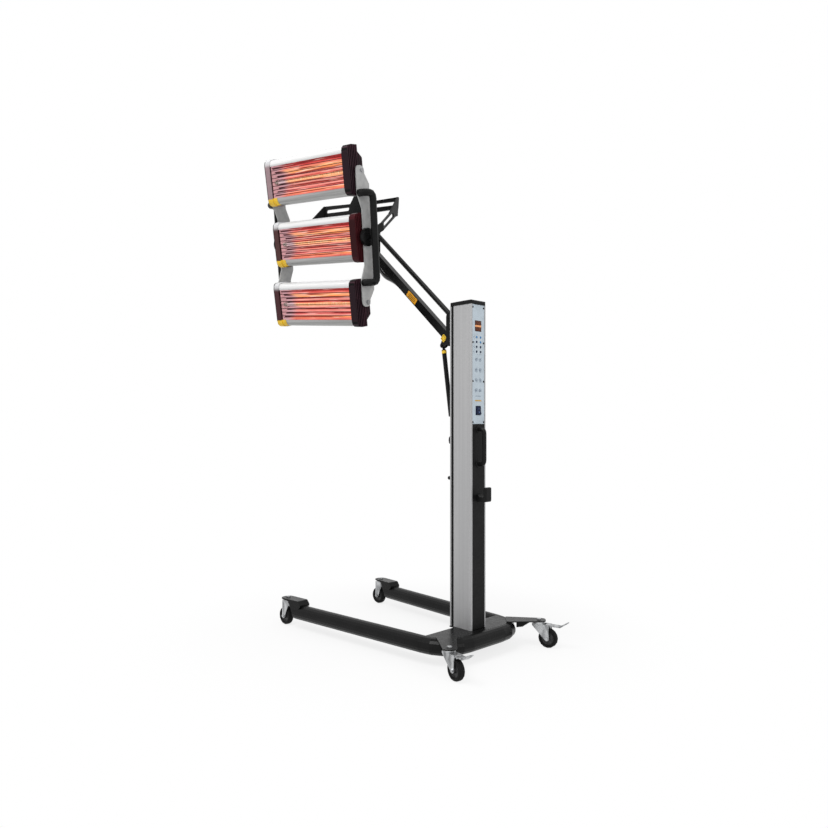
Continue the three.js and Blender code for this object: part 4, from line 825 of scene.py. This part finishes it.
# %% Printed marks
MARK_HEIGHTS, BAR_ROW, MUSTARD_LINE = (1103, 1063, 1024, 986), 966, 949
INK = (0.02, 0.16, 0)  # the bottom, top and bevel of a stroke of ink
marks = bmesh.new()
for row, height in enumerate(MARK_HEIGHTS):
    for x in (-KEY_SIDE, KEY_SIDE):
        place = at(x, PANEL_FACE, height) @ FACING_BACK
        for i in range(3 + row % 2):
            add_slab(marks, rounded(1.5, 7 + 2 * (i % 2), 0.7, (i * 3 - 3, 0), 2), *INK, place)
        for dot in range(10):
            angle = math.pi * dot / 7 + row
            spot = (6.6 * math.cos(angle), 7.4 * math.sin(angle))
            add_slab(marks, rounded(2.4, 1.7, 0.8, spot, 2), *INK, place)
place = at(0, PANEL_FACE, BAR_ROW) @ FACING_BACK
for i in range(5):
    add_slab(marks, rounded(4.6, 2.2, 1, (i * 6 - 12, 0), 2), *INK, place)
add_piece("panel_marks", marks, print_grey, "stand", column_place)
line = bmesh.new()
add_slab(line, rounded(36, 5, 1), 0.03, 0.3, 0.1, at(0, PANEL_FACE, MUSTARD_LINE) @ FACING_BACK)
add_piece("panel_orange_line", line, mustard, "stand", column_place)

# %% [markdown]
# ## Rocker switch
# The rocker turns in a thin frame that is fixed to the panel. Its own two marks, a bar and a ring, lie on
# its two slopes and tip with it. They could be coloured areas of the rocker, but its solid has no edges
# there. So they are thin pieces that ride on the rocker, while the frame rides on the stand.

# %% Rocker frame and marks
SWITCH_HEIGHT = 912
SWITCH_PLACE = at(0, PANEL_FACE, SWITCH_HEIGHT)
rim = bmesh.new()
outer, crest, inner = rounded(29, 35, 2.5), rounded(27.6, 33.6, 2), rounded(24.8, 30.8, 0.8)
rim_loops = [(outer, 0.05), (outer, 0.7), (crest, 1.2), (inner, 1.2), (inner, 0.05)]
add_loops(rim, rim_loops, SWITCH_PLACE @ FACING_BACK, ends=False)
add_piece("rocker_frame", rim, key_dark, "stand", column_place)

ROCKER_TIP, SLOPE = 6, 7.4  # degrees
SLOPE_OUT, SLOPE_UP = 4.2, 7


def slope_place(side):
    """The middle of the rocker's upper (1) or lower (-1) slope."""
    tipped = SWITCH_PLACE @ turned_by(ROCKER_TIP, "X")
    return tipped @ at(0, SLOPE_OUT, side * SLOPE_UP) @ turned_by(-side * SLOPE, "X") @ FACING_BACK


signs = bmesh.new()
add_slab(signs, rounded(1.6, 6.5, 0.7), 0.02, 0.3, 0, slope_place(1))
ring_out, ring_in = rounded(6.4, 6.4, 3.1), rounded(3.8, 3.8, 1.8)
ring_loops = [(ring_out, 0.02), (ring_out, 0.3), (ring_in, 0.3), (ring_in, 0.02)]
add_loops(signs, ring_loops, slope_place(-1), ends=False)
add_piece("rocker_marks", signs, switch_mark, "rocker", column_place)

# %% [markdown]
# ## Handle rosettes
# The pull handle stands on two small rosettes, which spread its load over the thin cover. Plain discs
# could do. Turned from a profile with a sloped rim, they catch a thin line of light as moulded ones do.

# %% Handle rosettes
COVER_FACE, HANDLE_FEET = 54.5, (842, 712)
rosettes = bmesh.new()
for height in HANDLE_FEET:
    rosette = [(14.5, 0.05), (14.5, 1.6), (13.2, 2.8), (8.4, 3.4)]
    add_turned(rosettes, rosette, 28, at(0, COVER_FACE, height) @ FACING_BACK)
add_piece("handle_rosettes", rosettes, plastic, "stand", column_place)
print("rosettes:", len(HANDLE_FEET))

# %% [markdown]
# ## Labels on the arm and strut
# The arm carries an orange label with plain bars on its side. A yellow diamond plate with a printed edge
# is riveted on the arm near the strut's ear, and a yellow sleeve lies round the top of the strut's
# cylinder. They could be coloured areas in the paint. Real labels lie on the paint and have an edge, so
# these are thin slabs and a thin ring that ride on the arm and the strut.

# %% Arm labels
ARM_SIDE, LABEL_FROM_PIVOT = 13.5, -286
label_place = at(ARM_SIDE, LABEL_FROM_PIVOT, 0) @ FACING_RIGHT
label = bmesh.new()
add_slab(label, rounded(24, 67, 2.5), 0.05, 0.45, 0.15, label_place)
add_piece("arm_label", label, orange, "arm", arm_place)
DIAMOND_FROM_PIVOT, DIAMOND_DROP, RIVET_RISE = -33.6, 13, 5
diamond = bmesh.new()
diamond_middle = at(ARM_SIDE, DIAMOND_FROM_PIVOT, -DIAMOND_DROP)
diamond_place = diamond_middle @ turned_by(45 + ARM_RISE, "X") @ FACING_RIGHT
add_slab(diamond, rounded(23, 23, 3), 0.05, 1.5, 0.4, diamond_place)
rivet_place = at(ARM_SIDE, DIAMOND_FROM_PIVOT, RIVET_RISE - DIAMOND_DROP) @ FACING_RIGHT
add_turned(diamond, [(2.4, 1.5), (2.1, 2.2), (1.2, 2.6)], 12, rivet_place)
add_piece("strut_warning_plate", diamond, yellow, "arm", arm_place)
marks = bmesh.new()
for line in (-6.5, 0, 6.5):
    add_slab(marks, rounded(2.4, 52 - abs(line), 1, (line, 0), 2), 0.46, 0.6, 0, label_place)
edge = rounded(16, 1.5, 0.6, (0, 7.6), 2)
for quarter in range(4):
    add_slab(marks, edge, 1.52, 1.66, 0, diamond_place @ turned_by(90 * quarter, "Z"))
add_piece("label_marks", marks, label_print, "arm", arm_place)

# %% Strut sleeve
STRUT_RUN, STRUT_RISE = 53, 367
STRUT_LEAN = math.degrees(math.atan2(STRUT_RUN, STRUT_RISE))
strut_top = Matrix.Translation(pivot["strut_swing"]) @ turned_by(STRUT_LEAN, "X")
sleeve = bmesh.new()
outer, inner = rounded(19.4, 19.4, 9.6, steps=7), rounded(18.2, 18.2, 9.05, steps=7)
add_loops(sleeve, [(outer, -31), (outer, -20), (inner, -20), (inner, -31)], ends=False)
add_piece("strut_sleeve", sleeve, yellow, "strut_upper", strut_top)
print("strut leans", round(STRUT_LEAN, 1), "degrees")

# %% [markdown]
# ## On each cassette
# A yellow label wraps the lower corner at the left end, over the cap and the shell's lip. Inside, each
# ceramic end of the tube sits in a spring clip on the reflector, and the housing behind has pressed
# cooling ribs. The label could be one flat slab, but it would cut the round corner. So it is a thin sheet
# that follows each outline, with a third, thicker piece to bridge the step between cap and shell. The
# clips are bent strips, and the ribs are slabs with a wide bevel, as a press leaves them.

# %% Corner label
SHELL_HALF, CAP_HALF, LIP_ROUND, OPENING = 90, 93, 28, 62
SHELL_FRONT, CAP_FRONT, SHELL_END, CAP_END = 60, 63, 202.5, 231.8
WRAP_STEPS = 8


def add_wrap(mesh, front, half, meet, first, last, lift=0.35):
    """A label round the lower front corner, where the lip bends from its underside up to its face."""
    corners = Vector((front - LIP_ROUND, -half)), Vector((front, -half)), Vector((front, meet))
    section = []
    for i in range(WRAP_STEPS + 1):
        t = 0.12 + 0.88 * i / WRAP_STEPS
        a, b = corners[0].lerp(corners[1], t), corners[1].lerp(corners[2], t)
        along = (b - a).normalized()
        section.append((a.lerp(b, t), Vector((along.y, -along.x))))
    outside = [p + lift * n for p, n in section]
    inside = [p + 0.05 * n for p, n in section]
    profile = [(p.x, p.y) for p in outside + inside[::-1]]
    add_slab(mesh, profile, first, last, 0, turned_by(90, "X"))


print("the label's step from cap to shell:", CAP_FRONT - SHELL_FRONT, "mm")


# %% Lamp clips
CLIP_START, CLIP_END = 186, 193


def add_clip(mesh, side):
    """A bent spring strip that holds a ceramic end."""
    jaw = [(23, 9), (32, 12.5), (41, 9), (43, 4), (41.5, 3.8), (39.5, 8), (32, 11), (24.5, 8)]
    other_jaw = [(x, -z) for x, z in reversed(jaw)]
    route = [(22, 0), *jaw, (23.6, 0), *other_jaw]
    low, high = sorted((side * CLIP_START, side * CLIP_END))
    add_slab(mesh, route, -high, -low, 0, turned_by(90, "X"))


print("clip width:", CLIP_END - CLIP_START, "mm")

# %% Pieces of each cassette
LABEL_ON_SHELL, STEP_LIFT = 24, 3.3
HOUSING_BACK, RIB_COUNT, FIRST_RIB, RIB_PITCH = -22.3, 9, -150, 37.5
for name in CASSETTES:
    body, place = "cassette_" + name, cassette_place[name]
    wrap = bmesh.new()
    add_wrap(wrap, CAP_FRONT, CAP_HALF, -CAP_HALF + LIP_ROUND, SHELL_END + 0.2, CAP_END - 2)
    add_wrap(wrap, SHELL_FRONT, SHELL_HALF, -OPENING, SHELL_END - LABEL_ON_SHELL, SHELL_END - 1.2)
    lip_end = -SHELL_HALF + LIP_ROUND
    add_wrap(wrap, SHELL_FRONT, SHELL_HALF, lip_end, SHELL_END - 1.18, SHELL_END - 0.05, STEP_LIFT)
    add_piece(name + "_corner_label", wrap, yellow, body, place)
    clips = bmesh.new()
    add_clip(clips, 1)
    add_clip(clips, -1)
    add_piece(name + "_lamp_clips", clips, zinc, body, place)
    ribs = bmesh.new()
    for i in range(RIB_COUNT):
        along = FIRST_RIB + RIB_PITCH * i
        outward = at(HOUSING_BACK, along, 0) @ turned_by(-90, "Y") @ turned_by(90, "Z")
        add_slab(ribs, rounded(9, 74, 4.4), 0.05, 1.8, 0.7, outward)
    add_piece(name + "_cooling_ribs", ribs, housing, body, place)

# %% [markdown]
# ## Washers on the head
# Thin zinc washers lie under the bolt heads of the upper and lower cassettes, outside the side plates.
# They could be left out at this size, but a bolt head that stands straight on a plate looks pasted on.
# Each is the shortest turned part here, a disc whose middle the bolt covers.

# %% Washers
PLATE_OUTER, BOLT_RISE, BOLT_AHEAD = 241, 248, 7
WASHER_RADIUS, WASHER_TOP = 10.5, 0.22
washers = bmesh.new()
for height in (BOLT_RISE, -BOLT_RISE):
    for side in (1, -1):
        place = at(BOLT_AHEAD, side * PLATE_OUTER, height) @ turned_by(-90 * side, "X")
        add_turned(washers, [(WASHER_RADIUS, 0.03), (WASHER_RADIUS, WASHER_TOP)], 20, place)
add_piece("bolt_washers", washers, zinc, "head", head_place)

# %% [markdown]
# ## Floor
# The lamp stands before plain white, as in a catalogue. A sheet of white paper could lie under it, but
# paper is only as white as its light, and more light would bleach the lamp. So a wide pale floor takes a
# soft shadow near the base and turns to plain white further out, for the camera and for reflections
# alike.

# %% Floor
FLOOR_HALF, FLOOR_DROP = 30, 0.0005
corners = [(x * FLOOR_HALF, y * FLOOR_HALF, 0) for x, y in ((-1, -1), (1, -1), (1, 1), (-1, 1))]
floor_mesh = bpy.data.meshes.new("floor")
floor_mesh.from_pydata(corners, [], [(0, 1, 2, 3)])
floor = bpy.data.objects.new("floor", floor_mesh)
floor.location.z = -FLOOR_DROP
scene.collection.objects.link(floor)
print("floor:", 2 * FLOOR_HALF, "m wide")


# %% Seen or lighting
def seen_directly(kit):
    """1 for the camera's rays, reflections and what is seen through glass, 0 for the light on things."""
    path = kit.add("ShaderNodeLightPath")
    seen = path.outputs["Is Camera Ray"]
    for other in ("Is Glossy Ray", "Is Transmission Ray"):
        seen = kit.calculate("MAXIMUM", seen, path.outputs[other])
    return seen


def mix_for_camera(kit, share, on_things, to_camera, output_kind):
    """Mixes a shader that lights things with one that is only seen."""
    mix, output = kit.add("ShaderNodeMixShader"), kit.add(output_kind)
    kit.link(share, mix.inputs["Fac"])
    kit.link(on_things.outputs[0], mix.inputs[1])
    kit.link(to_camera.outputs[0], mix.inputs[2])
    kit.link(mix.outputs[0], output.inputs["Surface"])


print("mixing by kind of ray ready")

# %% Floor finish
# In metres: where the shadow's middle lies ahead of the column, and how far out the floor turns white.
SHADOW_AHEAD, SHADOW_CORE, SHADOW_EDGE = 0.35, 0.3, 1.2
CORE_WHITENESS = 0.78
floor_paint = bpy.data.materials.new("pale_floor")
floor_paint.use_nodes = True
floor_kit = NodeKit(floor_paint.node_tree)
floor_kit.tree.nodes.clear()
matt, white = floor_kit.add("ShaderNodeBsdfDiffuse"), floor_kit.add("ShaderNodeEmission")
floor_kit.set(matt.inputs["Color"], (0.9, 0.9, 0.9))
geometry = floor_kit.add("ShaderNodeNewGeometry")
distance = floor_kit.add("ShaderNodeVectorMath", operation="DISTANCE")
distance.inputs[1].default_value = (foot.x, foot.y - SHADOW_AHEAD, 0)
floor_kit.link(geometry.outputs["Position"], distance.inputs[0])
fade = floor_kit.step(distance.outputs["Value"], SHADOW_CORE, SHADOW_EDGE, CORE_WHITENESS)
share = floor_kit.calculate("MULTIPLY", fade, seen_directly(floor_kit))
mix_for_camera(floor_kit, share, matt, white, "ShaderNodeOutputMaterial")
floor_mesh.materials.append(floor_paint)
print("floor turns white", SHADOW_EDGE, "m from its middle")

# %% [markdown]
# ## World and lamps
# A catalogue picture is lit by large soft boxes. A sun or small lamps could be brighter, but they draw
# hard shadows and bleach the pale metal. Here a large lamp above, a weaker one on the panel's side and an
# even world keep every colour about as it was mixed.

# %% World
world = bpy.data.worlds.new("studio")
scene.world = world
world.use_nodes = True
sky_kit = NodeKit(world.node_tree)
sky_kit.tree.nodes.clear()
WORLD_STRENGTH, SEEN_STRENGTH = 0.5, 1.0
lit, seen_white = sky_kit.add("ShaderNodeBackground"), sky_kit.add("ShaderNodeBackground")
for background, strength in ((lit, WORLD_STRENGTH), (seen_white, SEEN_STRENGTH)):
    sky_kit.set(background.inputs["Color"], (1, 1, 1))
    sky_kit.set(background.inputs["Strength"], strength)
mix_for_camera(sky_kit, seen_directly(sky_kit), lit, seen_white, "ShaderNodeOutputWorld")
print("world's strength:", WORLD_STRENGTH)


# %% Lamps
def soft_lamp(name, place, target, width, watts):
    light = bpy.data.lights.new(name, "AREA")
    light.shape = "SQUARE"
    light.size = width
    light.energy = watts
    lamp = bpy.data.objects.new(name, light)
    lamp.location = place
    lamp.rotation_euler = (Vector(target) - Vector(place)).to_track_quat("-Z", "Y").to_euler()
    scene.collection.objects.link(lamp)


LAMP_MIDDLE = (0, 0, 0.9)
soft_lamp("key_softbox", (2.2, 0.2, 4.2), LAMP_MIDDLE, 2.2, 110)
soft_lamp("fill_softbox", (0.6, 3.4, 2.2), LAMP_MIDDLE, 2.4, 35)
print("lamps:", len(bpy.data.lights))
